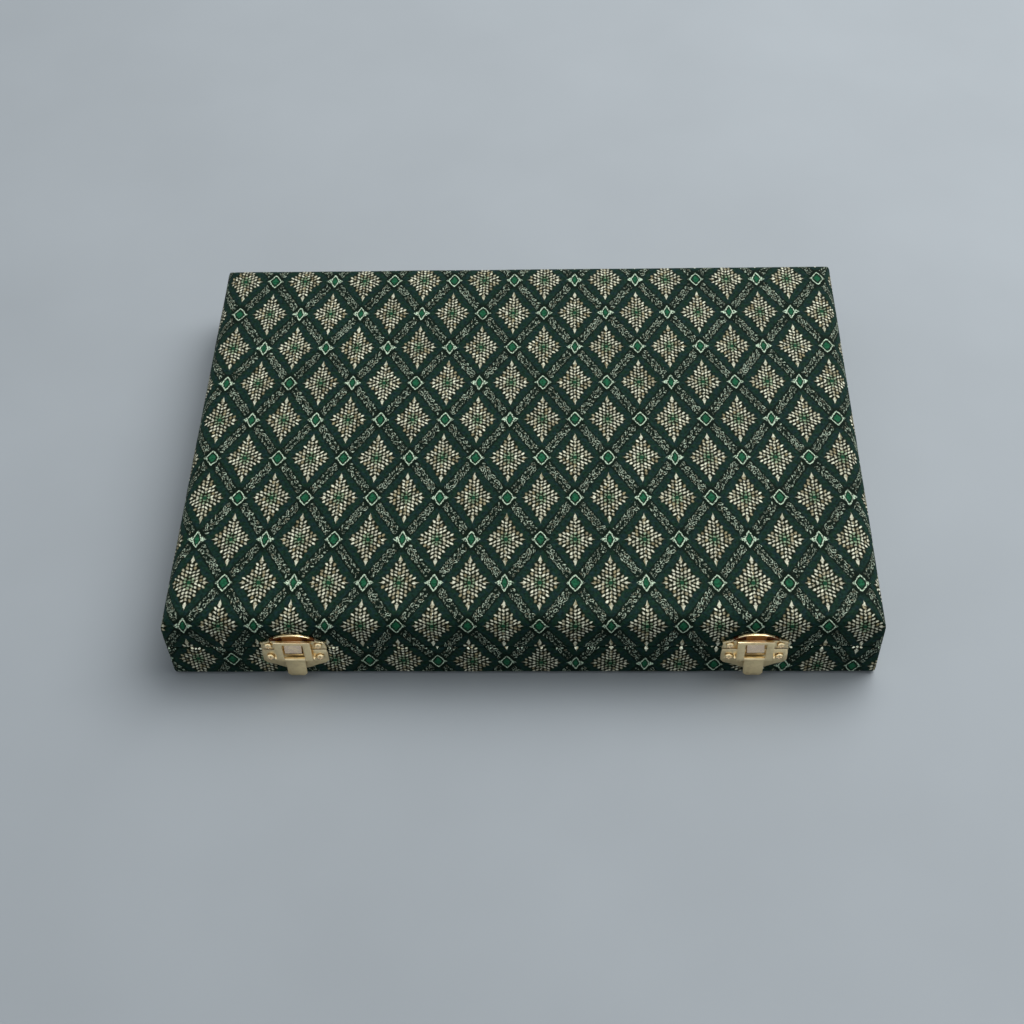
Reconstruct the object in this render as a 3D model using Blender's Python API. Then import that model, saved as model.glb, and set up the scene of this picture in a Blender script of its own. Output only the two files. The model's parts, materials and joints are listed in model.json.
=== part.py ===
# Amulet box: a flat hinged case covered with lattice brocade.
# Board walls carry the cloth, two stamped latches close the front, two butt
# hinges carry the lid, and flocked dividers make the wells for the amulets.
# Metres, +Z up. The origin is the middle of the underside, the front faces -Y.

import math

import bmesh
import bpy

# Driving sizes of the case
BOX_WIDTH = 0.300
BOX_DEPTH = 0.218
BOX_HEIGHT = 0.0373
SEAM_HEIGHT = 0.0196
SEAM_GAP = 0.0004

# Cloth cover
CLOTH_THICKNESS = 0.0005
CORNER_RADIUS = 0.0014
TOP_EDGE_RADIUS = 0.0060
BOTTOM_EDGE_RADIUS = 0.0012
RIM_EDGE_RADIUS = 0.0008
BOTTOM_TURN_IN = 0.015
WALL_TURN_IN = 0.006

# Clearances
SEAT_GAP = 0.0003
RUNNING_CLEARANCE = 0.00006
OVERRUN = 0.002
SINK = 0.0002

# Boards and linings
WALL_BOARD = 0.005
FLOOR_BOARD = 0.004
TOP_BOARD = 0.004
BOTTOM_SHEET = 0.0005
SHEET_MARGIN = 0.004
LINING_CARD = 0.0012
LINING_SETBACK = 0.0010

# Lid pad
PAD_THICKNESS = 0.0070
PAD_CROWN = 0.0028
PAD_DRAW_IN = 0.0012
PAD_EDGE_GAP = 0.0005
PAD_CELLS_ALONG = 16
PAD_CELLS_ACROSS = 12
PAD_SIDE_ROWS = 4

# Dividers
WELL_COLUMNS = 6
WELL_ROWS = 3
DIVIDER_THICKNESS = 0.003
DIVIDER_TOP_DROP = 0.0021

# Latches
LATCH_FROM_LEFT_END = 0.0545
LATCH_FROM_RIGHT_END = 0.0526
LATCH_SHEET = 0.0005
LATCH_HALF_WIDTH = 0.0139
LATCH_SPLIT_GAP = 0.0003
BASE_PLATE_HEIGHT = 0.0134
CATCH_PLATE_HEIGHT = 0.0103
LATCH_SCREW_OFFSET = 0.0105
BASE_SCREW_DROP = 0.0050
LID_SCREW_RISE = 0.0030
BASE_PLATE_SHARES = (
    (0.975, 1.0),
    (1.0, 0.8),
    (1.0, 0.43),
    (0.9, 0.29),
    (0.65, 0.19),
    (0.37, 0.02),
    (0.3, 0.0),
)
CATCH_PLATE_SHARES = (
    (1.0, 0.0),
    (0.97, 0.3),
    (0.99, 0.44),
    (0.93, 0.51),
    (0.84, 0.53),
    (0.76, 0.58),
    (0.67, 0.7),
    (0.54, 0.83),
    (0.38, 0.93),
    (0.2, 0.985),
    (0.0, 1.0),
)
CATCH_RIM_SHARES = (
    (0.955, 0.42),
    (0.915, 0.46),
    (0.83, 0.475),
    (0.735, 0.53),
    (0.63, 0.63),
    (0.5, 0.745),
    (0.355, 0.835),
    (0.19, 0.885),
    (0.0, 0.9),
)
CATCH_RIM_RISE = 0.0007

# Catch tongue of the lid plate
TONGUE_HALF_WIDTH = 0.0037
TONGUE_DROP = 0.0035
TONGUE_ROOT_RISE = 0.0016
TONGUE_TOP_RISE = 0.0061
TONGUE_CROWN = 0.0004
TONGUE_ROUNDING = 0.0005

# Flap and its pivot
FLAP_SHEET = 0.0006
FLAP_HALF_WIDTH = 0.0076
FLAP_TOP_RISE = 0.0072
FLAP_BAR = 0.0016
FLAP_WINDOW_HALF_WIDTH = 0.0044
FLAP_WINDOW_DROP = 0.0040
FLAP_SHOULDER_DROP = 0.0060
TAB_HALF_WIDTH = 0.0041
TAB_LENGTH = 0.0095
TAB_LIFT = 0.0007
TAB_ROUND_LENGTH = 0.0014
TAB_END_SHARE = 0.62
PIVOT_DROP = 0.0050
PIN_RADIUS = 0.0003
BEAD_RADIUS = 0.00095
BEAD_STEPS = 6
CHEEK_RADIUS = 0.00065
LUG_RADIUS = 0.00095
LUG_GAP = 0.00025
PIN_END = 0.00015

# Torsion spring on the pivot
SPRING_WIRE_RADIUS = 0.0001
SPRING_COIL_RADIUS = 0.0005
SPRING_TURNS = 5
SPRING_PITCH = 0.00034
SPRING_LEG = 0.0030
SPRING_SHORT_LEG = 0.0015
SPRING_TURN_POINTS = 9

# Hinges
HINGE_FROM_END = 0.055
HINGE_HALF_LENGTH = 0.013
HINGE_LEAF = 0.0102
HINGE_SHEET = 0.0007
KNUCKLE_RADIUS = 0.0016
KNUCKLE_GAP = 0.0002
KNUCKLE_HALF_SHARE = 0.36
KNUCKLE_SWEEP = math.radians(285)
KNUCKLE_STEPS = 11
HINGE_PIN_RADIUS = 0.00075
HINGE_PIN_HEAD_RADIUS = 0.0012
HINGE_PIN_HEAD = 0.0005
HINGE_SCREW_SPACING = 0.0160
HINGE_SCREW_DROP = 0.0062

# Round-head screws
SCREW_HEAD_RADIUS = 0.00175
SCREW_HEAD_HEIGHT = 0.0009
SCREW_SHANK_RADIUS = 0.0008
SCREW_DEPTH = 0.0044
SCREW_SLOT_WIDTH = 0.0005
SCREW_SLOT_DEPTH = 0.0004
SCREW_SLOT_REACH = 0.0012

# Facets
CORNER_STEPS = 3
ROUND_SIDES = 16
FOLD_RADIUS = 0.0002

# Places that follow from the sizes above
HALF_WIDTH = BOX_WIDTH / 2
HALF_DEPTH = BOX_DEPTH / 2
LATCH_PLACES = (("left", LATCH_FROM_LEFT_END - HALF_WIDTH), ("right", HALF_WIDTH - LATCH_FROM_RIGHT_END))
HINGE_PLACES = (("left", HINGE_FROM_END - HALF_WIDTH), ("right", HALF_WIDTH - HINGE_FROM_END))
BASE_RIM = SEAM_HEIGHT - SEAM_GAP / 2
LID_RIM = SEAM_HEIGHT + SEAM_GAP / 2
COVER_BOTTOM = BOTTOM_SHEET + SEAT_GAP
BOARD_INSET = CLOTH_THICKNESS + SEAT_GAP
WALL_INNER = BOARD_INSET + WALL_BOARD
TURN_IN_INNER = WALL_INNER + SEAT_GAP + CLOTH_THICKNESS
LINING_OUTER = TURN_IN_INNER + SEAT_GAP
LINING_INNER = LINING_OUTER + LINING_CARD
FLOOR_LOW = COVER_BOTTOM + BOARD_INSET
FLOOR_HIGH = FLOOR_LOW + FLOOR_BOARD
LINING_FLOOR = FLOOR_HIGH + SEAT_GAP
WELL_FLOOR = LINING_FLOOR + LINING_CARD + SEAT_GAP
DIVIDER_TOP = BASE_RIM - DIVIDER_TOP_DROP
TOP_BOARD_LOW = BOX_HEIGHT - BOARD_INSET - TOP_BOARD
LID_CEILING = TOP_BOARD_LOW - SEAT_GAP
WELL_HALF_X = HALF_WIDTH - LINING_INNER - SEAT_GAP
WELL_HALF_Y = HALF_DEPTH - LINING_INNER - SEAT_GAP

PLATE_FRONT = SEAT_GAP + LATCH_SHEET
PLATE_MIDDLE = SEAT_GAP + LATCH_SHEET / 2
BASE_PLATE_TOP = SEAM_HEIGHT - LATCH_SPLIT_GAP
CATCH_PLATE_BOTTOM = SEAM_HEIGHT + LATCH_SPLIT_GAP
BASE_SCREW_Z = SEAM_HEIGHT - BASE_SCREW_DROP
LID_SCREW_Z = SEAM_HEIGHT + LID_SCREW_RISE
PIVOT_Z = SEAM_HEIGHT - PIVOT_DROP
PIVOT_OUT = PLATE_FRONT + SEAT_GAP + CHEEK_RADIUS
FLAP_MIDDLE = PIVOT_OUT + PIN_RADIUS + LUG_GAP + FLAP_SHEET / 2
TONGUE_BACK = PLATE_FRONT + SEAT_GAP
TONGUE_FRONT = FLAP_MIDDLE - FLAP_SHEET / 2 - LUG_GAP
HOLE_RADIUS = SCREW_SHANK_RADIUS + SEAT_GAP

HINGE_AXIS_OUT = SEAT_GAP + KNUCKLE_RADIUS
HINGE_AXIS_Y = HALF_DEPTH + HINGE_AXIS_OUT
LEAF_FRONT = SEAT_GAP + HINGE_SHEET

COLOURS = {
    "brocade": ((0.030, 0.110, 0.085, 1.0), 0.62, 0.0),
    "board": ((0.420, 0.290, 0.170, 1.0), 0.85, 0.0),
    "paper": ((0.030, 0.040, 0.036, 1.0), 0.90, 0.0),
    "velvet": ((0.012, 0.085, 0.050, 1.0), 0.95, 0.0),
    "brass": ((0.830, 0.660, 0.370, 1.0), 0.28, 1.0),
    "steel": ((0.620, 0.620, 0.600, 1.0), 0.35, 1.0),
}


def clear_scene():
    """Take away whatever the open file holds."""
    for item in list(bpy.data.objects):
        bpy.data.objects.remove(item, do_unlink=True)


def finish_material(name, finish):
    """One plain Principled material for one sub-part."""
    colour, roughness, metallic = COLOURS[finish]
    made = bpy.data.materials.new(name)
    made.use_nodes = True
    shader = made.node_tree.nodes["Principled BSDF"]
    shader.inputs["Base Color"].default_value = colour
    shader.inputs["Roughness"].default_value = roughness
    shader.inputs["Metallic"].default_value = metallic
    return made


def face_outward(bm):
    """Turn the faces of one solid to point out."""
    bmesh.ops.recalc_face_normals(bm, faces=bm.faces)
    if bm.calc_volume(signed=True) < 0:
        bmesh.ops.reverse_faces(bm, faces=bm.faces)


def add_object(name, bm, finish, smooth=False):
    """Turn a bmesh into a named object with its own material."""
    face_outward(bm)
    mesh = bpy.data.meshes.new(name)
    bm.to_mesh(mesh)
    bm.free()
    if smooth:
        mesh.shade_smooth()
        mesh.set_sharp_from_angle(angle=math.radians(40))
    item = bpy.data.objects.new(name, mesh)
    bpy.context.scene.collection.objects.link(item)
    if finish:
        mesh.materials.append(finish_material(name, finish))
    return item


def shape_with(item, tools, operation):
    """Cut, join or trim an object by tool objects, then drop the tools."""
    for tool in tools:
        step = item.modifiers.new(operation.lower(), "BOOLEAN")
        step.operation = operation
        step.solver = "EXACT"
        step.object = tool
    bpy.context.view_layer.update()
    graph = bpy.context.evaluated_depsgraph_get()
    shaped = bpy.data.meshes.new_from_object(item.evaluated_get(graph))
    item.modifiers.clear()
    item.data = shaped
    for tool in tools:
        bpy.data.objects.remove(tool, do_unlink=True)
    return item


def move_origin(item, place):
    """Put an object's origin on its joint axis and keep the shape in place."""
    for vertex in item.data.vertices:
        vertex.co.x -= place[0]
        vertex.co.y -= place[1]
        vertex.co.z -= place[2]
    item.location = place


def block(low, high):
    """A plain box between two corners."""
    bm = bmesh.new()
    made = bmesh.ops.create_cube(bm, size=1.0)
    for vertex in made["verts"]:
        for axis in range(3):
            middle = (low[axis] + high[axis]) / 2
            vertex.co[axis] = middle + vertex.co[axis] * (high[axis] - low[axis])
    return bm


def prism(outline, low, high, place):
    """Extrude a flat outline. place(a, b, c) gives the point of the solid."""
    bm = bmesh.new()
    face = bm.faces.new([bm.verts.new(place(a, b, low)) for a, b in outline])
    moved = bmesh.ops.extrude_face_region(bm, geom=[face])
    start = place(outline[0][0], outline[0][1], low)
    end = place(outline[0][0], outline[0][1], high)
    shift = [end[axis] - start[axis] for axis in range(3)]
    raised = [part for part in moved["geom"] if isinstance(part, bmesh.types.BMVert)]
    bmesh.ops.translate(bm, verts=raised, vec=shift)
    return bm


def arc(centre, radius, start, end, steps):
    """Points of a round stretch, its angles in quarter turns."""
    points = []
    for step in range(steps + 1):
        angle = (start + (end - start) * step / steps) * math.pi / 2
        points.append((centre[0] + radius * math.cos(angle), centre[1] + radius * math.sin(angle)))
    return points


def case_ring(inset, height):
    """A rounded rectangle that lies inset from the outside of the case."""
    radius = max(CORNER_RADIUS - inset, FOLD_RADIUS)
    across = HALF_WIDTH - inset - radius
    along = HALF_DEPTH - inset - radius
    points = []
    for quarter, (side_x, side_y) in enumerate(((1, 1), (-1, 1), (-1, -1), (1, -1))):
        centre = (side_x * across, side_y * along)
        for x, y in arc(centre, radius, quarter, quarter + 1, CORNER_STEPS):
            points.append((x, y, height))
    return points


def loft(profile, tube):
    """Join rings of the case at each (inset, height) of a profile."""
    bm = bmesh.new()
    loops = [[bm.verts.new(point) for point in case_ring(inset, height)] for inset, height in profile]
    pairs = list(zip(loops, loops[1:]))
    if tube:
        pairs.append((loops[-1], loops[0]))
    for lower, upper in pairs:
        for index, vertex in enumerate(lower):
            after = (index + 1) % len(lower)
            bm.faces.new((vertex, lower[after], upper[after], upper[index]))
    if not tube:
        bm.faces.new(loops[0])
        bm.faces.new(loops[-1])
    return bm


def rod(start, end, radius, sides=ROUND_SIDES):
    """A round bar along X or Y between two points."""
    bm = bmesh.new()
    length = math.dist(start, end)
    made = bmesh.ops.create_cone(
        bm, cap_ends=True, segments=sides, radius1=radius, radius2=radius, depth=length
    )
    turn_x = abs(end[0] - start[0]) > abs(end[1] - start[1])
    for vertex in made["verts"]:
        x, y, z = vertex.co
        vertex.co = (z, x, y) if turn_x else (y, z, x)
        for axis in range(3):
            vertex.co[axis] += (start[axis] + end[axis]) / 2
    return bm


def merged(pieces):
    """Several separate solids in one bmesh."""
    bm = bmesh.new()
    for piece in pieces:
        mesh = bpy.data.meshes.new("part")
        face_outward(piece)
        piece.to_mesh(mesh)
        piece.free()
        bm.from_mesh(mesh)
        bpy.data.meshes.remove(mesh)
    return bm


def tool_object(bm):
    """A shape that only cuts or joins."""
    item = add_object("tool", bm, None)
    item.hide_render = True
    item.display_type = "WIRE"
    return item


def screw_places():
    """Each screw: name, body, side of the case (-1 front), x, z and sheet front."""
    places = []
    for (hand, latch_x), (_, hinge_x) in zip(LATCH_PLACES, HINGE_PLACES):
        for number, side in enumerate((-1, 1), 1):
            x = latch_x + side * LATCH_SCREW_OFFSET
            name = f"{hand}_latch_base_screw_{number}"
            places.append((name, "base", -1, x, BASE_SCREW_Z, PLATE_FRONT))
            name = f"{hand}_latch_catch_screw_{number}"
            places.append((name, "lid", -1, x, LID_SCREW_Z, PLATE_FRONT))
            x = hinge_x + side * HINGE_SCREW_SPACING / 2
            name = f"{hand}_hinge_base_screw_{number}"
            places.append((name, "base", 1, x, SEAM_HEIGHT - HINGE_SCREW_DROP, LEAF_FRONT))
            name = f"{hand}_hinge_lid_screw_{number}"
            places.append((name, "lid", 1, x, SEAM_HEIGHT + HINGE_SCREW_DROP, LEAF_FRONT))
    return places


def screw_holes(body, face):
    """Cutter for the screw holes of one body on one face of the case."""
    holes = []
    for _, owner, side, x, z, front in screw_places():
        if owner == body and side == face:
            outside = (x, side * (HALF_DEPTH + front + OVERRUN), z)
            inside = (x, side * (HALF_DEPTH - SCREW_DEPTH - SEAT_GAP), z)
            holes.append(rod(outside, inside, HOLE_RADIUS, ROUND_SIDES // 2))
    return tool_object(merged(holes))


def base_cover():
    """Brocade round the base, turned in under the floor and over the rim."""
    inner = CLOTH_THICKNESS
    rim_inner = TURN_IN_INNER
    corner = BOTTOM_EDGE_RADIUS
    edge = RIM_EDGE_RADIUS
    profile = [(BOTTOM_TURN_IN, COVER_BOTTOM)]
    profile += arc((corner, COVER_BOTTOM + corner), corner, -1, -2, CORNER_STEPS)
    profile += arc((edge, BASE_RIM - edge), edge, -2, -3, CORNER_STEPS)
    profile += arc((rim_inner - edge, BASE_RIM - edge), edge, 1, 0, CORNER_STEPS)
    profile.append((rim_inner, BASE_RIM - WALL_TURN_IN))
    profile.append((rim_inner - inner, BASE_RIM - WALL_TURN_IN))
    profile += arc((rim_inner - edge, BASE_RIM - edge), edge - inner, 0, 1, CORNER_STEPS)
    profile += arc((edge, BASE_RIM - edge), edge - inner, -3, -2, CORNER_STEPS)
    profile += arc((corner, COVER_BOTTOM + corner), corner - inner, -2, -1, CORNER_STEPS)
    profile.append((BOTTOM_TURN_IN, COVER_BOTTOM + inner))
    cover = add_object("base_brocade_cover", loft(profile, True), "brocade")
    return shape_with(cover, [screw_holes("base", -1), screw_holes("base", 1)], "DIFFERENCE")


def lid_cover():
    """Brocade over the lid, turned in over its rim."""
    inner = CLOTH_THICKNESS
    rim_inner = TURN_IN_INNER
    corner = TOP_EDGE_RADIUS
    edge = RIM_EDGE_RADIUS
    profile = arc((corner, BOX_HEIGHT - corner), corner, 1, 2, CORNER_STEPS + 1)
    profile += arc((edge, LID_RIM + edge), edge, 2, 3, CORNER_STEPS)
    profile += arc((rim_inner - edge, LID_RIM + edge), edge, 3, 4, CORNER_STEPS)
    profile.append((rim_inner, LID_RIM + WALL_TURN_IN))
    profile.append((rim_inner - inner, LID_RIM + WALL_TURN_IN))
    profile += arc((rim_inner - edge, LID_RIM + edge), edge - inner, 4, 3, CORNER_STEPS)
    profile += arc((edge, LID_RIM + edge), edge - inner, 3, 2, CORNER_STEPS)
    profile += arc((corner, BOX_HEIGHT - corner), corner - inner, 2, 1, CORNER_STEPS + 1)
    cover = add_object("lid_brocade_cover", loft(profile, False), "brocade")
    return shape_with(cover, [screw_holes("lid", -1), screw_holes("lid", 1)], "DIFFERENCE")


def core(low, high, low_radius, high_radius):
    """The space inside a cover, which trims the boards to its rounding."""
    profile = arc((BOARD_INSET + low_radius, low + low_radius), low_radius, -1, -2, CORNER_STEPS)
    profile += arc((BOARD_INSET + high_radius, high - high_radius), high_radius, -2, -3, CORNER_STEPS)
    return tool_object(loft(profile, False))


def base_core():
    """The space inside the base cover."""
    low_radius = BOTTOM_EDGE_RADIUS - BOARD_INSET
    return core(FLOOR_LOW, BASE_RIM - BOARD_INSET, low_radius, FOLD_RADIUS)


def lid_core():
    """The space inside the lid cover."""
    high_radius = TOP_EDGE_RADIUS - BOARD_INSET
    return core(LID_RIM + BOARD_INSET, BOX_HEIGHT - BOARD_INSET, FOLD_RADIUS, high_radius)


def wall_boards(body, low, high, make_core):
    """Front and back boards at full width, side boards between them."""
    wide = HALF_WIDTH + OVERRUN
    deep = HALF_DEPTH + OVERRUN
    inner_x = HALF_WIDTH - WALL_INNER
    inner_y = HALF_DEPTH - WALL_INNER
    for name, side in (("front", -1), ("back", 1)):
        near, far = sorted((side * inner_y, side * deep))
        board = add_object(f"{body}_{name}_board", block((-wide, near, low), (wide, far, high)), "board")
        shape_with(board, [make_core()], "INTERSECT")
        shape_with(board, [screw_holes(body, side)], "DIFFERENCE")
    between = inner_y - SEAT_GAP
    for name, side in (("left", -1), ("right", 1)):
        near, far = sorted((side * inner_x, side * wide))
        solid = block((near, -between, low), (far, between, high))
        board = add_object(f"{body}_{name}_board", solid, "board")
        shape_with(board, [make_core()], "INTERSECT")


def panel_board(name, low, high, make_core):
    """A floor or top board as large as the inside of its cover."""
    wide = HALF_WIDTH + OVERRUN
    deep = HALF_DEPTH + OVERRUN
    board = add_object(name, block((-wide, -deep, low), (wide, deep, high)), "board")
    shape_with(board, [make_core()], "INTERSECT")


def wall_lining(name, low, high):
    """Flocked card that stands round the inside of the walls."""
    profile = [(LINING_OUTER, low), (LINING_OUTER, high), (LINING_INNER, high), (LINING_INNER, low)]
    add_object(name, loft(profile, True), "velvet")


def lid_pad():
    """Velvet pad under the lid: crowned below, its sides drawn in."""
    half_x = HALF_WIDTH - LINING_INNER - PAD_EDGE_GAP
    half_y = HALF_DEPTH - LINING_INNER - PAD_EDGE_GAP
    bm = bmesh.new()
    bmesh.ops.create_grid(bm, x_segments=PAD_CELLS_ALONG, y_segments=PAD_CELLS_ACROSS, size=1.0)
    raised = bmesh.ops.extrude_face_region(bm, geom=list(bm.faces))
    below = [part for part in raised["geom"] if isinstance(part, bmesh.types.BMVert)]
    bmesh.ops.translate(bm, verts=below, vec=(0, 0, -1))
    sides = [edge for edge in bm.edges if abs(edge.verts[0].co.z - edge.verts[1].co.z) > 0]
    bmesh.ops.subdivide_edges(bm, edges=sides, cuts=PAD_SIDE_ROWS - 1, use_grid_fill=True)
    for vertex in bm.verts:
        u, v, depth = vertex.co.x, vertex.co.y, -vertex.co.z
        rounding = math.sqrt(max(1 - (2 * depth - 1) ** 2, 0)) - 1
        edge_u = half_x - PAD_DRAW_IN * (1 - v * v)
        edge_v = half_y - PAD_DRAW_IN * (1 - u * u)
        crown = PAD_CROWN * (1 - u ** 4) * (1 - v ** 4)
        shrink_u = PAD_CROWN / 2 * rounding if abs(u) == 1 else 0
        shrink_v = PAD_CROWN / 2 * rounding if abs(v) == 1 else 0
        vertex.co.x = u * (edge_u + shrink_u)
        vertex.co.y = v * (edge_v + shrink_v)
        vertex.co.z = LID_CEILING - SEAT_GAP - depth * (PAD_THICKNESS - PAD_CROWN + crown)
    add_object("lid_pad", bm, "velvet", smooth=True)


def comb(length, slots, from_top):
    """Outline of a slotted divider in (along, height)."""
    middle = (WELL_FLOOR + DIVIDER_TOP) / 2
    half_slot = DIVIDER_THICKNESS / 2 + SEAT_GAP
    mouth, blind = (DIVIDER_TOP, middle - SEAT_GAP) if from_top else (WELL_FLOOR, middle + SEAT_GAP)
    plain = WELL_FLOOR if from_top else DIVIDER_TOP
    outline = [(-length, plain), (length, plain), (length, mouth)]
    for place in sorted(slots, reverse=True):
        outline.append((place + half_slot, mouth))
        outline.append((place + half_slot, blind))
        outline.append((place - half_slot, blind))
        outline.append((place - half_slot, mouth))
    outline.append((-length, mouth))
    return outline


def divider_places(half_space, count):
    """Middles of the dividers that split a space into equal wells."""
    pitch = (2 * half_space + DIVIDER_THICKNESS) / count
    return [-half_space - DIVIDER_THICKNESS / 2 + pitch * index for index in range(1, count)]


def dividers():
    """Long and cross dividers, halved together like an egg crate."""
    cross_x = divider_places(WELL_HALF_X, WELL_COLUMNS)
    long_y = divider_places(WELL_HALF_Y, WELL_ROWS)
    half = DIVIDER_THICKNESS / 2
    for number, y in enumerate(long_y, 1):
        outline = comb(WELL_HALF_X, cross_x, True)
        solid = prism(outline, y - half, y + half, lambda a, b, c: (a, c, b))
        add_object(f"long_divider_{number}", solid, "velvet")
    for number, x in enumerate(cross_x, 1):
        outline = comb(WELL_HALF_Y, long_y, False)
        solid = prism(outline, x - half, x + half, lambda a, b, c: (c, a, b))
        add_object(f"cross_divider_{number}", solid, "velvet")


def case_boards_and_linings():
    """Everything of card, board and velvet."""
    panel_board("base_floor_board", FLOOR_LOW - OVERRUN, FLOOR_HIGH, base_core)
    wall_boards("base", FLOOR_HIGH + SEAT_GAP, BASE_RIM + OVERRUN, base_core)
    panel_board("lid_top_board", TOP_BOARD_LOW, BOX_HEIGHT + OVERRUN, lid_core)
    wall_boards("lid", LID_RIM - OVERRUN, LID_CEILING, lid_core)
    sheet_x = HALF_WIDTH - SHEET_MARGIN
    sheet_y = HALF_DEPTH - SHEET_MARGIN
    sheet = block((-sheet_x, -sheet_y, 0), (sheet_x, sheet_y, BOTTOM_SHEET))
    add_object("base_bottom_sheet", sheet, "paper")
    wall_lining("base_wall_lining", LINING_FLOOR, BASE_RIM - LINING_SETBACK)
    wall_lining("lid_wall_lining", LID_RIM + LINING_SETBACK, LID_CEILING)
    low = (-WELL_HALF_X, -WELL_HALF_Y, LINING_FLOOR)
    add_object("base_floor_lining", block(low, (WELL_HALF_X, WELL_HALF_Y, WELL_FLOOR - SEAT_GAP)), "velvet")


def on_front(x):
    """Map of (across, height, out) at one latch to the world."""
    return lambda across, height, out: (x + across, -HALF_DEPTH - out, height)


def mirrored(shares, half_width, bottom, height):
    """A symmetric outline from its right half, in shares of its size."""
    right = [(across * half_width, bottom + rise * height) for across, rise in shares]
    left = [(-across, rise) for across, rise in reversed(right) if across > 0]
    return right + left


def hinge_ear(x, near, far, root_out, radius):
    """An ear with a round end about the flap's pivot, between two across places."""
    low, high = sorted((near, far))
    if root_out > PIVOT_OUT:
        outline = [(root_out, PIVOT_Z + radius)]
        outline += arc((PIVOT_OUT, PIVOT_Z), radius, 1, 3, ROUND_SIDES // 2)
        outline.append((root_out, PIVOT_Z - radius))
    else:
        outline = [(root_out, PIVOT_Z - radius)]
        outline += arc((PIVOT_OUT, PIVOT_Z), radius, -1, 1, ROUND_SIDES // 2)
        outline.append((root_out, PIVOT_Z + radius))
    return prism(outline, x + low, x + high, lambda out, height, across: (across, -HALF_DEPTH - out, height))


def pivot_hole(x):
    """Cutter for the pin's holes."""
    reach = FLAP_HALF_WIDTH + LUG_GAP + FLAP_SHEET + OVERRUN
    y = -HALF_DEPTH - PIVOT_OUT
    radius = PIN_RADIUS + RUNNING_CLEARANCE
    return tool_object(rod((x - reach, y, PIVOT_Z), (x + reach, y, PIVOT_Z), radius))


def latch_base_plate(name, x):
    """Stamped plate on the base with two ears for the flap's pin."""
    bottom = BASE_PLATE_TOP - BASE_PLATE_HEIGHT
    outline = mirrored(BASE_PLATE_SHARES, LATCH_HALF_WIDTH, bottom, BASE_PLATE_HEIGHT)
    plate = add_object(name, prism(outline, SEAT_GAP, PLATE_FRONT, on_front(x)), "brass")
    near = FLAP_HALF_WIDTH + LUG_GAP
    far = near + FLAP_SHEET
    ears = [tool_object(hinge_ear(x, side * near, side * far, PLATE_MIDDLE, LUG_RADIUS)) for side in (-1, 1)]
    shape_with(plate, ears, "UNION")
    shape_with(plate, [pivot_hole(x), screw_holes("base", -1)], "DIFFERENCE")


def latch_catch_plate(name, x):
    """Arched plate on the lid with a raised rim and a tongue that the flap's window frames."""
    size = (LATCH_HALF_WIDTH, CATCH_PLATE_BOTTOM, CATCH_PLATE_HEIGHT)
    outline = mirrored(CATCH_PLATE_SHARES, *size)
    plate = add_object(name, prism(outline, SEAT_GAP, PLATE_FRONT, on_front(x)), "brass")
    outer = CATCH_PLATE_SHARES[-len(CATCH_RIM_SHARES):]
    for side in (-1, 1):
        ring = [(side * across * size[0], size[1] + rise * size[2]) for across, rise in outer]
        ring += [(side * across * size[0], size[1] + rise * size[2]) for across, rise in CATCH_RIM_SHARES[::-1]]
        rim = prism(ring, PLATE_MIDDLE, PLATE_FRONT + CATCH_RIM_RISE, on_front(x))
        shape_with(plate, [tool_object(rim)], "UNION")
    low = SEAM_HEIGHT - TONGUE_DROP
    root = SEAM_HEIGHT + TONGUE_ROOT_RISE
    top = SEAM_HEIGHT + TONGUE_TOP_RISE
    shoulder = TONGUE_FRONT - TONGUE_CROWN
    profile = [
        (PLATE_MIDDLE, top),
        (shoulder, top - TONGUE_CROWN - TONGUE_ROUNDING),
        (TONGUE_FRONT, top - TONGUE_ROOT_RISE),
        (TONGUE_FRONT, low + TONGUE_ROUNDING + TONGUE_CROWN),
        (shoulder, low + TONGUE_ROUNDING / 2),
        (TONGUE_BACK + TONGUE_ROUNDING / 2, low),
        (TONGUE_BACK, low + TONGUE_ROUNDING / 2),
        (TONGUE_BACK, root),
        (PLATE_MIDDLE, root + TONGUE_ROUNDING),
    ]
    half = TONGUE_HALF_WIDTH
    solid = prism(profile, x - half, x + half, lambda out, height, across: (across, -HALF_DEPTH - out, height))
    shape_with(plate, [tool_object(solid)], "UNION")
    shape_with(plate, [screw_holes("lid", -1)], "DIFFERENCE")


def flap_rows():
    """Heights of the flap's rows, from the tab's end to the top bar."""
    shoulder = SEAM_HEIGHT - FLAP_SHOULDER_DROP
    tab_end = shoulder - TAB_LENGTH
    bar_low = SEAM_HEIGHT + FLAP_TOP_RISE - FLAP_BAR
    rows = [tab_end, tab_end + TAB_ROUND_LENGTH / 3, tab_end + TAB_ROUND_LENGTH]
    rows.append((tab_end + shoulder) / 2)
    rows.append(shoulder)
    for step in range(1, BEAD_STEPS):
        rows.append(PIVOT_Z + BEAD_RADIUS * math.sin((step / BEAD_STEPS - 1 / 2) * math.pi))
    rows.append(SEAM_HEIGHT - FLAP_WINDOW_DROP)
    rows += [bar_low, SEAM_HEIGHT + FLAP_TOP_RISE]
    return rows


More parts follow.
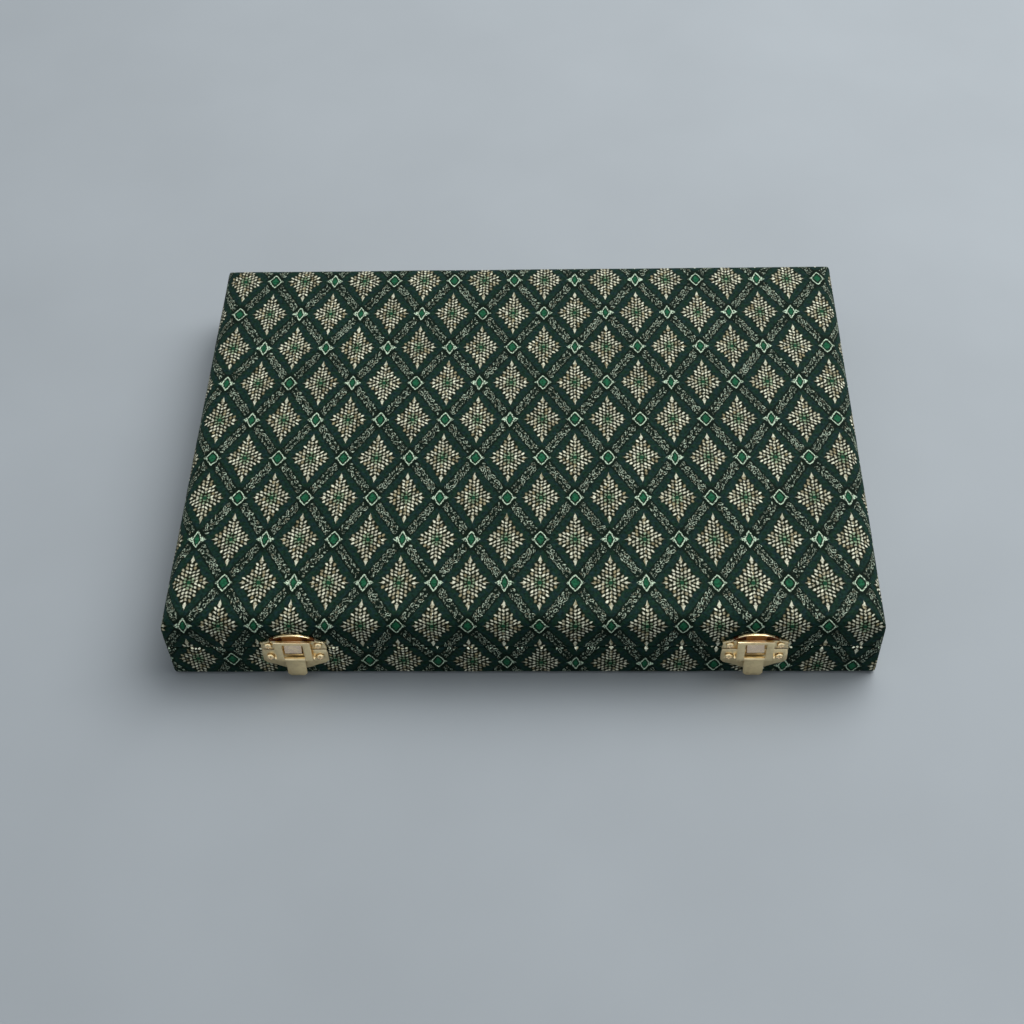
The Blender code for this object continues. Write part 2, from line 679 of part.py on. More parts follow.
def flap_place(across, height, x):
    """Middle of the flap's sheet at one row and column."""
    shoulder = SEAM_HEIGHT - FLAP_SHOULDER_DROP
    out = FLAP_MIDDLE
    if height < shoulder:
        down = (shoulder - height) / TAB_LENGTH
        out += TAB_LIFT * down * down
        rounding = max(down * TAB_LENGTH - TAB_LENGTH + TAB_ROUND_LENGTH, 0) / TAB_ROUND_LENGTH
        across *= 1 - (1 - TAB_END_SHARE) * rounding * rounding
    rise = abs(height - PIVOT_Z)
    if abs(across) <= TAB_HALF_WIDTH and rise < BEAD_RADIUS:
        out = max(out, PIVOT_OUT + math.sqrt(BEAD_RADIUS ** 2 - rise ** 2) + FLAP_SHEET / 2)
    return (x + across, -HALF_DEPTH - out, height)


def latch_flap(name, x):
    """Pivoting flap: a frame round the catch, a bead over the pin and a press tab."""
    shoulder = SEAM_HEIGHT - FLAP_SHOULDER_DROP
    window_low = SEAM_HEIGHT - FLAP_WINDOW_DROP
    window_high = SEAM_HEIGHT + FLAP_TOP_RISE - FLAP_BAR
    edges = [FLAP_HALF_WIDTH, FLAP_WINDOW_HALF_WIDTH, TAB_HALF_WIDTH, TAB_HALF_WIDTH / 2]
    columns = [-edge for edge in edges] + [0] + edges[::-1]
    rows = flap_rows()
    bm = bmesh.new()
    grid = {}
    for i, across in enumerate(columns):
        for j, height in enumerate(rows):
            grid[i, j] = bm.verts.new(flap_place(across, height, x))
    for i in range(len(columns) - 1):
        for j in range(len(rows) - 1):
            middle = abs(columns[i] + columns[i + 1]) / 2
            height = (rows[j] + rows[j + 1]) / 2
            in_window = middle < FLAP_WINDOW_HALF_WIDTH and window_low < height < window_high
            beside_tab = middle > TAB_HALF_WIDTH and height < shoulder
            if not in_window and not beside_tab:
                bm.faces.new((grid[i, j], grid[i + 1, j], grid[i + 1, j + 1], grid[i, j + 1]))
    loose = [vertex for vertex in bm.verts if not vertex.link_faces]
    bmesh.ops.delete(bm, geom=loose, context="VERTS")
    flap = add_object(name, bm, "brass")
    thicken(flap, FLAP_SHEET)
    far = FLAP_HALF_WIDTH - SINK
    near = far - FLAP_SHEET
    root = FLAP_MIDDLE
    cheeks = [tool_object(hinge_ear(x, side * near, side * far, root, CHEEK_RADIUS)) for side in (-1, 1)]
    shape_with(flap, cheeks, "UNION")
    shape_with(flap, [pivot_hole(x)], "DIFFERENCE")
    move_origin(flap, (x, -HALF_DEPTH - PIVOT_OUT, PIVOT_Z))


def thicken(item, thickness):
    """Give a sheet its thickness, half to each side."""
    solid = item.modifiers.new("thickness", "SOLIDIFY")
    solid.thickness = thickness
    solid.offset = 0
    solid.use_even_offset = True
    shape_with(item, [], "UNION")


def latch_pin(name, x):
    """Pin that the flap turns on, riveted in the base plate's ears."""
    reach = FLAP_HALF_WIDTH + LUG_GAP + FLAP_SHEET + PIN_END
    y = -HALF_DEPTH - PIVOT_OUT
    pin = rod((x - reach, y, PIVOT_Z), (x + reach, y, PIVOT_Z), PIN_RADIUS)
    add_object(name, pin, "brass", smooth=True)


def latch_spring(name, x):
    """Torsion spring wound on the pin, with a leg on the plate and one to the tab."""
    half = SPRING_TURNS * SPRING_PITCH / 2
    back = PIVOT_OUT - SPRING_COIL_RADIUS
    points = [(-half, back, PIVOT_Z - SPRING_LEG)]
    total = SPRING_TURNS * SPRING_TURN_POINTS + SPRING_TURN_POINTS // 2
    for step in range(total + 1):
        turn = step / SPRING_TURN_POINTS
        angle = math.pi + turn * 2 * math.pi
        across = -half + SPRING_PITCH * turn
        out = PIVOT_OUT + SPRING_COIL_RADIUS * math.cos(angle)
        points.append((across, out, PIVOT_Z + SPRING_COIL_RADIUS * math.sin(angle)))
    points.append((points[-1][0], PIVOT_OUT + SPRING_WIRE_RADIUS, PIVOT_Z - SPRING_SHORT_LEG))
    curve = bpy.data.curves.new(name, "CURVE")
    curve.dimensions = "3D"
    curve.bevel_depth = SPRING_WIRE_RADIUS
    curve.bevel_resolution = 1
    curve.use_fill_caps = True
    line = curve.splines.new("POLY")
    line.points.add(len(points) - 1)
    for point, (across, out, height) in zip(line.points, points):
        point.co = (x + across, -HALF_DEPTH - out, height, 1)
    spring = bpy.data.objects.new(name, curve)
    bpy.context.scene.collection.objects.link(spring)
    curve.materials.append(finish_material(name, "steel"))


def screw(x, z, side, front):
    """Round-head screw with a cross slot, its head on the outside of a sheet."""
    seat = HALF_DEPTH + front + SEAT_GAP
    stations = [
        (0, -SCREW_DEPTH - front - SEAT_GAP),
        (SCREW_SHANK_RADIUS / 2, -SCREW_DEPTH - front - SEAT_GAP),
        (SCREW_SHANK_RADIUS, -SCREW_DEPTH - front - SEAT_GAP + SCREW_SHANK_RADIUS),
        (SCREW_SHANK_RADIUS, 0),
        (SCREW_HEAD_RADIUS, 0),
    ]
    for across, rise in arc((0, 0), 1, 0, 1, CORNER_STEPS)[:-1]:
        stations.append((SCREW_HEAD_RADIUS * across, SCREW_HEAD_HEIGHT / 4 + SCREW_HEAD_HEIGHT * 3 / 4 * rise))
    stations.append((0, SCREW_HEAD_HEIGHT))
    bm = bmesh.new()
    chain = [bm.verts.new((radius, 0, rise)) for radius, rise in stations]
    edges = [bm.edges.new(pair) for pair in zip(chain, chain[1:])]
    bmesh.ops.spin(
        bm, geom=edges, cent=(0, 0, 0), axis=(0, 0, 1), angle=2 * math.pi, steps=ROUND_SIDES - 4, use_merge=True
    )
    bmesh.ops.remove_doubles(bm, verts=bm.verts, dist=RUNNING_CLEARANCE / 10)
    for vertex in bm.verts:
        across, along, rise = vertex.co
        vertex.co = (x + across, side * (seat + rise), z + along)
    return bm


def cut_screw(name, x, z, side, front):
    """One screw as its own piece, with its cross slot cut."""
    item = add_object(name, screw(x, z, side, front), "brass")
    face = HALF_DEPTH + front + SEAT_GAP + SCREW_HEAD_HEIGHT
    near, far = sorted((side * (face - SCREW_SLOT_DEPTH), side * (face + OVERRUN)))
    half = SCREW_SLOT_WIDTH / 2
    reach = SCREW_SLOT_REACH
    flat = block((x - reach, near, z - half), (x + reach, far, z + half))
    upright = block((x - half, near, z - reach), (x + half, far, z + reach))
    shape_with(item, [tool_object(flat), tool_object(upright)], "DIFFERENCE")


def screws():
    """All screws, numbered from the left within each plate or leaf."""
    for name, _, side, x, z, front in screw_places():
        cut_screw(name, x, z, side, front)


def leaf_place(x, across, run, up):
    """Middle of a leaf's sheet: run is measured from the axis, past it on the curl."""
    radius = KNUCKLE_RADIUS - HINGE_SHEET / 2
    if run <= 0:
        return (x + across, HINGE_AXIS_Y - radius, SEAM_HEIGHT + up * -run)
    angle = math.pi - run / radius
    return (x + across, HINGE_AXIS_Y + radius * math.cos(angle), SEAM_HEIGHT - up * radius * math.sin(angle))


def hinge_leaf(name, body, x, up):
    """Sheet leaf curled round the pin: outer knuckles on the base, the middle one on the lid."""
    inner = HINGE_HALF_LENGTH * KNUCKLE_HALF_SHARE
    base_edge = inner + KNUCKLE_GAP / 2
    lid_edge = inner - KNUCKLE_GAP / 2
    edge = lid_edge if body == "lid" else base_edge
    columns = [-HINGE_HALF_LENGTH, -edge, edge, HINGE_HALF_LENGTH]
    clear = KNUCKLE_RADIUS + KNUCKLE_GAP
    radius = KNUCKLE_RADIUS - HINGE_SHEET / 2
    rows = [-HINGE_LEAF, -clear, 0]
    rows += [radius * KNUCKLE_SWEEP * step / KNUCKLE_STEPS for step in range(1, KNUCKLE_STEPS + 1)]
    bm = bmesh.new()
    grid = {}
    for i, across in enumerate(columns):
        for j, run in enumerate(rows):
            grid[i, j] = bm.verts.new(leaf_place(x, across, run, up))
    for i in range(len(columns) - 1):
        for j in range(len(rows) - 1):
            outer = i != 1
            if j == 0 or outer == (body == "base"):
                bm.faces.new((grid[i, j], grid[i + 1, j], grid[i + 1, j + 1], grid[i, j + 1]))
    loose = [vertex for vertex in bm.verts if not vertex.link_faces]
    bmesh.ops.delete(bm, geom=loose, context="VERTS")
    leaf = add_object(name, bm, "brass")
    thicken(leaf, HINGE_SHEET)
    shape_with(leaf, [screw_holes(body, 1)], "DIFFERENCE")
    return leaf


def hinge_pin(name, x):
    """Hinge pin with a small head at each end."""
    reach = HINGE_HALF_LENGTH + KNUCKLE_GAP
    y = HINGE_AXIS_Y
    pin = add_object(
        name, rod((x - reach, y, SEAM_HEIGHT), (x + reach, y, SEAM_HEIGHT), HINGE_PIN_RADIUS), "brass"
    )
    heads = []
    for side in (-1, 1):
        inner = (x + side * (reach - SINK / 2), y, SEAM_HEIGHT)
        outer = (x + side * (reach + HINGE_PIN_HEAD), y, SEAM_HEIGHT)
        heads.append(tool_object(rod(inner, outer, HINGE_PIN_HEAD_RADIUS)))
    shape_with(pin, heads, "UNION")


def latches():
    """Both latches."""
    for hand, x in LATCH_PLACES:
        latch_base_plate(f"{hand}_latch_base_plate", x)
        latch_catch_plate(f"{hand}_latch_catch_plate", x)
        latch_flap(f"{hand}_latch_flap", x)
        latch_pin(f"{hand}_latch_pin", x)
        latch_spring(f"{hand}_latch_spring", x)


def hinges():
    """Both hinges."""
    for hand, x in HINGE_PLACES:
        hinge_leaf(f"{hand}_hinge_base_leaf", "base", x, -1)
        hinge_leaf(f"{hand}_hinge_lid_leaf", "lid", x, 1)
        hinge_pin(f"{hand}_hinge_pin", x)


def hang_lid():
    """Carry every lid piece on an empty that stands on the hinge axis."""
    axis = bpy.data.objects.new("lid_axis", None)
    bpy.context.scene.collection.objects.link(axis)
    axis.location = (0, HINGE_AXIS_Y, SEAM_HEIGHT)
    bpy.context.view_layer.update()
    for item in bpy.data.objects:
        if item.name.startswith("lid_") and item != axis or "_lid_" in item.name or "_catch_" in item.name:
            item.parent = axis
            item.matrix_parent_inverse = axis.matrix_world.inverted()


def main():
    clear_scene()
    base_cover()
    lid_cover()
    case_boards_and_linings()
    lid_pad()
    dividers()
    latches()
    screws()
    hinges()
    hang_lid()


main()
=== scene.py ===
"""Dress the amulet box: brocade, gilt latches, flocked wells and a padded lid."""

import json
import math

import bmesh
import bpy
from mathutils import Matrix, Vector, noise

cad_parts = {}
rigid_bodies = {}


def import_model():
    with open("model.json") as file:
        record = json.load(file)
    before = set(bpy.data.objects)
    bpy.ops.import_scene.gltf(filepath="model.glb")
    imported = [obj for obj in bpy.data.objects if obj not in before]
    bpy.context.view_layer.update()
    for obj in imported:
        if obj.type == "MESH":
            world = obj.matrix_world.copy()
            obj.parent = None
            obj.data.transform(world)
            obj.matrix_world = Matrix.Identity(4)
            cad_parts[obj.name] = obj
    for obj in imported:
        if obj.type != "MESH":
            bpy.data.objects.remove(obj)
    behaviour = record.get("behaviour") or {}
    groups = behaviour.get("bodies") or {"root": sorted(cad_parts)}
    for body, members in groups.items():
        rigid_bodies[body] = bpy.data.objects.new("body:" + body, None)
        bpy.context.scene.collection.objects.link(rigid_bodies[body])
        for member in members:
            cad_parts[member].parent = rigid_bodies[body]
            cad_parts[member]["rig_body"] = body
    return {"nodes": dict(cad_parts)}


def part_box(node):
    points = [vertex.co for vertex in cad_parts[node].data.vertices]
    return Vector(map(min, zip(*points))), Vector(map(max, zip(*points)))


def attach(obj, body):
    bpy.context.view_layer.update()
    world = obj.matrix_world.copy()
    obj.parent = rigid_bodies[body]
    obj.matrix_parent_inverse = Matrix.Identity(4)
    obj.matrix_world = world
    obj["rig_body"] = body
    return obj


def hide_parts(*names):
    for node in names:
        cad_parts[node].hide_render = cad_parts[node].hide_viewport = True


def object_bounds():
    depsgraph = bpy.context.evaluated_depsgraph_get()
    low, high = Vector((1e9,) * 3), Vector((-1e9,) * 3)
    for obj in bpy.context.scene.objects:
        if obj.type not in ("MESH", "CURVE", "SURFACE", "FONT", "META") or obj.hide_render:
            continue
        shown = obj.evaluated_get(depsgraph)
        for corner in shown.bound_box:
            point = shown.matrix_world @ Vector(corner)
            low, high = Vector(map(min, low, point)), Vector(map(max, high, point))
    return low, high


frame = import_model()
CAD_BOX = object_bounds()

bl_info = {
    "name": "Amulet Box",
    "version": (1, 0, 0),
    "blender": (4, 5, 0),
    "location": "3D View > Sidebar > Amulet Box",
    "description": "Dresses the packed model of a brocade amulet box",
    "category": "Object",
}

MM = 0.001
TINY = 1e-7
WELD = 1e-6
FLAT_ANGLE = math.radians(0.5)
LOW, HIGH = CAD_BOX
NODES = frame["nodes"]
LID_LOW, LID_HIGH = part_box("lid_brocade_cover")
BASE_LOW, BASE_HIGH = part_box("base_brocade_cover")
HALF_WIDTH = LID_HIGH.x
HALF_DEPTH = LID_HIGH.y

# Covers: rounds of the edges, widths that are turned in, reach of the rubbed folds, and the painted
# highlight on the base rim's gold threads
CORNER = 1.4 * MM
TOP_EDGE = 6.0 * MM
FOLD = 0.2 * MM
BOTTOM_EDGE = 1.2 * MM
RIM_EDGE = 0.8 * MM
RIM_WIDTH = 6.6 * MM
WALL_TURN_IN = 6.0 * MM
BOTTOM_TURN_IN = 15.0 * MM
RUBBED_CORNER = 4.0 * MM
RUBBED_TOP = 4.0 * MM
RUBBED_LID_RIM = 2.0 * MM
RIM_RUB_AND_GLINT = 1.7 * MM
RUBBED_BOTTOM = 2.5 * MM
# Painted highlight: the base rim's fold mark, and how much paler its gold threads are painted, as
# if they glint in the light
RIM_GLINT = 3.0
RUBBED_PALER, RIM_GLINT_GAIN = 0.35, 12.0
SLOW_WAVER, SLOW_SCALE = 0.16 * MM, 28.0
QUICK_WAVER, QUICK_SCALE = 0.07 * MM, 95.0
REPEAT_ACROSS = 29.63 * MM
REPEAT_DOWN = 46.5 * MM
LID_LATTICE = ((-6.0 * MM, 97.5 * MM), math.radians(-0.26), 1.0)
BASE_LATTICE = ((-6.3 * MM, 8.7 * MM), math.radians(-1.3), 0.985)

# Catch: places measured up from the lid's rim, out from the case's front, and to each side
POCKET_LOW = LID_LOW.z + 5.6 * MM
POCKET_MIDDLE = 4.2 * MM
POCKET_REACH = 9.5 * MM
POCKET_OUT = 1.9 * MM
NUB_TOP = 5.6 * MM
NUB_CREST = 0.2 * MM
NUB_BOTTOM = -2.5 * MM
NUB_HALF_WIDTH = 3.7 * MM
NUB_BACK = 1.0 * MM
NUB_ROOT = 1.7 * MM
NUB_OUT = 3.3 * MM
NUB_ROUND = 0.75 * MM

# Pad: rounds, gathers where the velvet is pulled round its card, and unevenness
PAD_CORNER = 4.0 * MM
PAD_LIP = 2.6 * MM
PAD_DRAW = 1.1 * MM
PAD_BORDER = 3.0 * MM
SOFT, SOFT_SCALE = 0.45 * MM, 18.0
GATHER_REACH = 13.0 * MM
GATHER_START = 2.0 * MM
GATHER_PITCH = 9.5 * MM
GATHER_RISE = 0.42 * MM
STRAY, STRAY_SCALE = 1.6, 22.0

# Rounds of the flocked card and the screws' heads, and the finishes of gilt pieces, two of them
# painted shade for the catch's pocket
CARD_ROUND = 0.45 * MM
SCREW_ROUND = 0.08 * MM
GILT = ["gilt brass", "worn gilt edge"]
POCKET_GILT = ["gilt brass", "half-shaded gilt", "shaded gilt", "worn gilt edge"]

# Stage
FLOOR_HALF_SIZE = 3.0
FLOOR_GAP = 0.05 * MM
WINDOW_PLACE = (0.75, 0.60, 1.45)
WINDOW_SIZE = 1.6
CAMERA_PLACE = Vector((20.16, -486.18, 568.84)) * MM
CAMERA_ANGLES = (50.595, -3.224, 2.75)  # Pitch, heading and roll in degrees
CAMERA_LENS = 55.755


class Wire:
    """An output socket that arithmetic signs carry on through Math nodes."""

    def __init__(self, tree, socket):
        self.tree = tree
        self.socket = socket

    def math(self, operation, *values):
        made = self.tree.nodes.new("ShaderNodeMath")
        made.operation = operation
        for slot, value in zip(made.inputs, (self, *values)):
            plug(value, slot)
        return Wire(self.tree, made.outputs[0])

    def __add__(self, other):
        return self.math("ADD", other)

    def __sub__(self, other):
        return self.math("SUBTRACT", other)

    def __rsub__(self, other):
        return self.math("MULTIPLY_ADD", -1.0, other)

    def __mul__(self, other):
        return self.math("MULTIPLY", other)

    def __truediv__(self, other):
        return self.math("DIVIDE", other)

    def size(self):
        return self.math("ABSOLUTE")

    def power(self, other):
        return self.math("POWER", other)

    def most(self, other):
        return self.math("MAXIMUM", other)

    def least(self, other):
        return self.math("MINIMUM", other)

    def ramp(self, start, end):
        """0 at start, 1 at end and straight between."""
        made = self.tree.nodes.new("ShaderNodeMapRange")
        plug(self, made.inputs["Value"])
        plug(start, made.inputs["From Min"])
        plug(end, made.inputs["From Max"])
        return Wire(self.tree, made.outputs[0])


def plug(value, slot):
    """Link a wire to a socket, or set the socket to a plain value."""
    if isinstance(value, Wire):
        value.tree.links.new(value.socket, slot)
    else:
        slot.default_value = value


def make_node(tree, kind, inputs, output=0, **settings):
    """Add a node with its settings and inputs, and give one of its outputs."""
    made = tree.nodes.new(kind)
    for name, value in settings.items():
        setattr(made, name, value)
    for name, value in inputs.items():
        plug(value, made.inputs[name])
    return Wire(tree, made.outputs[output])


def join_colours(low, high, mask):
    """Colour low where the mask is 0 and colour high where it is 1."""
    tree = mask.tree
    return make_node(tree, "ShaderNodeMix", {0: mask, 6: low, 7: high}, 2, data_type="RGBA")


def vector_math(tree, operation, inputs):
    """Arithmetic on a whole vector or colour."""
    return make_node(tree, "ShaderNodeVectorMath", inputs, operation=operation)


def shade_colour(colour, value):
    """A colour made lighter or darker by a value."""
    inputs = {0: colour if isinstance(colour, Wire) else colour[:3], "Scale": value}
    return vector_math(value.tree, "SCALE", inputs)


def chance(tree, x, y, z):
    """A steady random number for each whole x, y and z."""
    place = make_node(tree, "ShaderNodeCombineXYZ", {"X": x, "Y": y, "Z": z})
    return make_node(tree, "ShaderNodeTexWhiteNoise", {"Vector": place})


def cloud(tree, place, scale, detail, roughness=0.5, output=0):
    """Soft noise between 0 and 1."""
    inputs = {"Vector": place, "Scale": scale, "Detail": detail, "Roughness": roughness}
    return make_node(tree, "ShaderNodeTexNoise", inputs, output)


def effect(name, inputs, outputs):
    """Start a node group on a place. Gives its tree, its input wires and its output node."""
    tree = bpy.data.node_groups.new(name, "ShaderNodeTree")
    for label, kind, value in (("Place", VECTOR, None), *inputs):
        slot = tree.interface.new_socket(label, in_out="INPUT", socket_type=kind)
        if value is not None:
            slot.default_value = value
    for label, kind in outputs:
        tree.interface.new_socket(label, in_out="OUTPUT", socket_type=kind)
    start = tree.nodes.new("NodeGroupInput")
    wires = {slot.name: Wire(tree, slot) for slot in start.outputs if slot.name}
    return tree, wires, tree.nodes.new("NodeGroupOutput")


FLOAT = "NodeSocketFloat"
COLOUR = "NodeSocketColor"
VECTOR = "NodeSocketVector"

THREADS = (
    ("ground", "Ground", "Satin ground of the brocade", (0.0080, 0.0275, 0.0150)),
    ("drift", "Ground Drift", "Bluer ground that the satin drifts to", (0.0085, 0.0250, 0.0255)),
    ("band", "Band Ground", "Darker ground under the lattice bands", (0.0030, 0.0080, 0.0045)),
    ("scroll", "Scroll", "Thread of the scrolls in the bands", (0.580, 0.700, 0.540)),
    ("scroll_tan", "Scroll Tan", "Browner thread among the scrolls", (0.270, 0.255, 0.170)),
    ("grain", "Grain", "Gold thread of the grain motif", (0.980, 0.990, 0.760)),
    ("grain_tan", "Grain Tan", "Darker gold thread among the grains", (0.400, 0.350, 0.200)),
    ("shade", "Grain Shade", "Dark thread between the grains", (0.0060, 0.0085, 0.0025)),
    ("heart", "Heart", "Pale thread at the heart of a motif", (0.300, 0.440, 0.265)),
    ("jewel", "Jewel", "Green of the rosettes", (0.0176, 0.1300, 0.0600)),
    ("ring", "Ring", "Pale line round the rosettes", (0.720, 0.900, 0.670)),
)


def brocade_weave():
    """Node group: the lattice brocade as colour, thread height and roughness."""
    inputs = [("Across", FLOAT, REPEAT_ACROSS), ("Down", FLOAT, REPEAT_DOWN)]
    inputs += [(label, COLOUR, (*value, 1.0)) for _, label, _, value in THREADS]
    outputs = (("Color", COLOUR), ("Height", FLOAT), ("Roughness", FLOAT))
    tree, given, result = effect("Brocade weave", inputs, outputs)
    cloth = given["Place"]

    # Place on the cloth in repeats, a little uneven as woven threads are
    jitter = cloud(tree, cloth, 620.0, 1.0, output=1)
    jitter = vector_math(tree, "SUBTRACT", {0: jitter, 1: (0.5,) * 3})
    shift = vector_math(tree, "SCALE", {0: jitter, "Scale": 0.80 * MM})
    place = vector_math(tree, "ADD", {0: cloth, 1: shift})
    parts = tree.nodes.new("ShaderNodeSeparateXYZ")
    plug(place, parts.inputs[0])
    across, down = given["Across"], given["Down"]
    u = Wire(tree, parts.outputs[0]) / across
    v = Wire(tree, parts.outputs[1]) / down
    s, t = u + v, u - v

    # Nearest rosette and nearest motif
    near_s, near_t = s.math("ROUND"), t.math("ROUND")
    off_s, off_t = s - near_s, t - near_t
    half_across, half_down = across * (0.5 / MM), down * (0.5 / MM)
    rose_x = ((off_s + off_t) * half_across).size()
    rose_y = ((off_s - off_t) * half_down).size()
    cell_s, cell_t = s.math("FRACT") - 0.5, t.math("FRACT") - 0.5
    grain_x = (cell_s + cell_t) * half_across
    grain_y = (cell_s - cell_t) * half_down

    # Bands along both lattice lines, the nearer one at each point
    on_s = off_s.size().math("LESS_THAN", off_t.size())
    lean = half_across.power(2.0) + half_down.power(2.0)
    span = lean.math("SQRT")
    width = half_across * half_down / span * 2.0
    beside = (off_s * on_s + off_t * (1.0 - on_s)) * width
    along = (off_t * on_s + off_s * (1.0 - on_s)) * span
    side = beside.math("SIGN")
    out = beside.size()
    band = out.ramp(2.55, 2.15)

    # Scrolls: curls, leaves and leaning twigs on each side of a band
    step = 3.1
    order = along / step + side * 0.25
    leaf = order.math("ROUND")
    key = near_s * 3.0 + near_t * 7.0 + on_s
    first, second, third = (chance(tree, leaf, side + 5.0 * index, key) for index in range(3))
    run = (order - leaf) * step
    rise = out - 1.0 - (first - 0.5) * 0.5
    leaf_run = (run - (third - 0.5) * 0.5) / (third * 0.55 + 0.75)
    leaf_rise = (rise - (second - 0.4) * run * 1.5) / 0.62
    reach = (leaf_run.power(2.0) + leaf_rise.power(2.0)).math("SQRT")
    open_curl = first.math("LESS_THAN", 0.55)
    curl = (reach - 1.0).size().ramp(0.50, 0.15) * open_curl
    filled = reach.ramp(1.0, 0.3) * (1.0 - open_curl)
    twig = rise + (third - 0.5) * 1.1 - (first - 0.5) * (run - 1.6) * 2.4
    twig = twig.size().ramp(0.40, 0.12) * (run.size() - 1.5).size().ramp(0.9, 0.5)
    scroll = (curl.most(filled) * (second * 0.75 + 0.45)).most(twig * (third * 0.5 + 0.4))
    scroll = scroll * cloud(tree, cloth, 1800.0, 0.0).ramp(0.41, 0.54)
    scroll = scroll * out.ramp(2.3, 1.8) * along.size().ramp(4.4, 5.2)

    # Grain motif: leaning grains in rows, mirrored about both axes
    x, y = grain_x.size(), grain_y.size()
    column_gap, row_gap, climb = 1.60, 1.95, 0.40
    column = (x / column_gap).math("ROUND")
    row = (y / row_gap - column * climb).math("FLOOR") + 0.5
    seat_x = column * column_gap
    seat_y = (row + column * climb) * row_gap
    seat = (column + grain_x.math("SIGN") * 20.0, row + grain_y.math("SIGN") * 20.0)
    key = s.math("FLOOR") * 3.0 + t.math("FLOOR")
    which, other = chance(tree, *seat, key), chance(tree, *seat, key + 0.5)
    turn = (other - 0.5) * 0.5 + math.radians(62) - seat_x * math.radians(2.4)
    lean_x, lean_y = turn.math("COSINE"), turn.math("SINE")
    off_x = x - seat_x - (other - 0.5) * 0.30
    off_y = y - seat_y - (which - 0.5) * 0.35
    grain_along = (off_x * lean_x + off_y * lean_y) / (which * 0.20 + 0.90)
    grain_beside = (off_y * lean_x - off_x * lean_y) / (other * 0.16 + 0.50)
    bulge = grain_along.power(2.0) + grain_beside.power(2.0)
    notch = (seat_x - 4.6).size().ramp(2.0, 0.4) * 1.5
    limit = (13.0 - seat_x * 1.512 - notch).least(11.9)
    grain = bulge.ramp(1.25, 0.35) * seat_y.math("LESS_THAN", limit)
    dip = (x - 4.8).size().ramp(2.4, 0.4) * 1.2
    bed = (y - 13.6 + x * 1.619 + dip).ramp(0.7, -0.3)
    side_tip = (y - (8.6 - x) * 0.24).ramp(0.10, -0.16) * x.ramp(5.9, 6.3)
    end_tip = (x - (14.5 - y) * 0.32).ramp(0.10, -0.16) * y.ramp(11.2, 11.6)
    tip = side_tip.most(end_tip)
    grain = grain.most(tip * 0.95)
    middle = ((x / 0.9).power(2.0) + (y / 1.1).power(2.0)).ramp(1.2, 0.7)
    heart = ((x / 2.7).power(2.0) + (y / 3.6).power(2.0)).ramp(1.15, 0.75)

    # Rosette: lozenge with a broken pale line, an ear at each side and a green jewel
    swell = 1.22
    wide = chance(tree, near_s, near_t, 3.0).ramp(0.35, 0.6)
    rose_width = wide * 0.95 + 1.8
    lozenge = (rose_x / rose_width).power(swell) + (rose_y / 4.1).power(swell)
    lozenge = lozenge.power(1 / swell)
    clear = lozenge.ramp(1.9, 1.35)
    patchy = cloud(tree, cloth, 1400.0, 0.0).ramp(0.36, 0.56)
    ring = (lozenge - 1.0).size().ramp(0.19 - wide * 0.06, 0.07 - wide * 0.022)
    ring = ring * (patchy * 0.72 + 0.28)
    ear = (rose_y - (rose_width + 2.2 - wide * 0.9 - rose_x) * 0.85).ramp(0.2, -0.3)
    ear = ear * (rose_x - rose_width).ramp(0.05, 0.35) * patchy * (1.0 - wide * 0.3)
    ring = ring.most(ear)
    jewel = lozenge.ramp(0.76, 0.46)
    spot = cloud(tree, cloth, 1000.0, 0.0).ramp(0.39, 0.72)

    # Threads: weft ribs all over, and painted shading on the gold of each grain, paler in its
    # middle and darker towards its edge
    rib = (Wire(tree, parts.outputs[1]) * (2 * math.pi / (0.42 * MM))).math("SINE")
    drift = cloud(tree, cloth, 450.0, 1.0).ramp(0.36, 0.69)
    satin = cloud(tree, cloth, 800.0, 2.0) * 2.4 - 0.2
    # Painted shading: each grain paler in its middle than at its edge, times a random tone for each
    # grain
    glow = (bulge.ramp(0.9, 0.0) * 0.66 + 0.34) * (which * 0.5 + 0.62)
    glow = glow.most(tip * 0.74)

    colour = shade_colour(join_colours(given["Ground"], given["Ground Drift"], drift), satin)
    colour = join_colours(colour, given["Band Ground"], band * 0.9)
    colour = join_colours(colour, given["Grain Shade"], bed * 0.92)
    thread = join_colours(given["Grain"], given["Grain Tan"], other.ramp(0.45, 0.95))
    thread = join_colours(thread, given["Heart"], heart * 0.9)
    colour = join_colours(colour, shade_colour(thread, glow), grain * (1.0 - middle))
    colour = join_colours(colour, given["Jewel"], middle * 0.5)
    colour = join_colours(colour, given["Band Ground"], clear * 0.85)
    colour = join_colours(colour, shade_colour(given["Jewel"], 1.0 - spot * 0.55), jewel)
    colour = join_colours(colour, given["Ring"], ring)
    scroll = scroll * (1.0 - clear)
    browner = cloud(tree, cloth, 670.0, 0.0).ramp(0.50, 0.72)
    thread = join_colours(given["Scroll"], given["Scroll Tan"], browner)
    colour = join_colours(colour, thread, scroll)
    colour = shade_colour(colour, rib * 0.05 + 1.0)

    gold = grain.most(ring).most(scroll)
    plug(colour, result.inputs["Color"])
    plug(gold * 0.14 + rib * 0.02 + bed * 0.03, result.inputs["Height"])
    plug(0.62 - gold * 0.16, result.inputs["Roughness"])
    return tree


def cloud_tone():
    """Node group: a value that drifts between two levels over a surface."""
    inputs = (("Scale", FLOAT, 60.0), ("Low", FLOAT, 0.9), ("High", FLOAT, 1.1))
    tree, given, result = effect("Cloud tone", inputs, (("Value", FLOAT),))
    drift = cloud(tree, given["Place"], given["Scale"], 3.0).ramp(0.32, 0.68)
    plug(given["Low"] + (given["High"] - given["Low"]) * drift, result.inputs["Value"])
    return tree


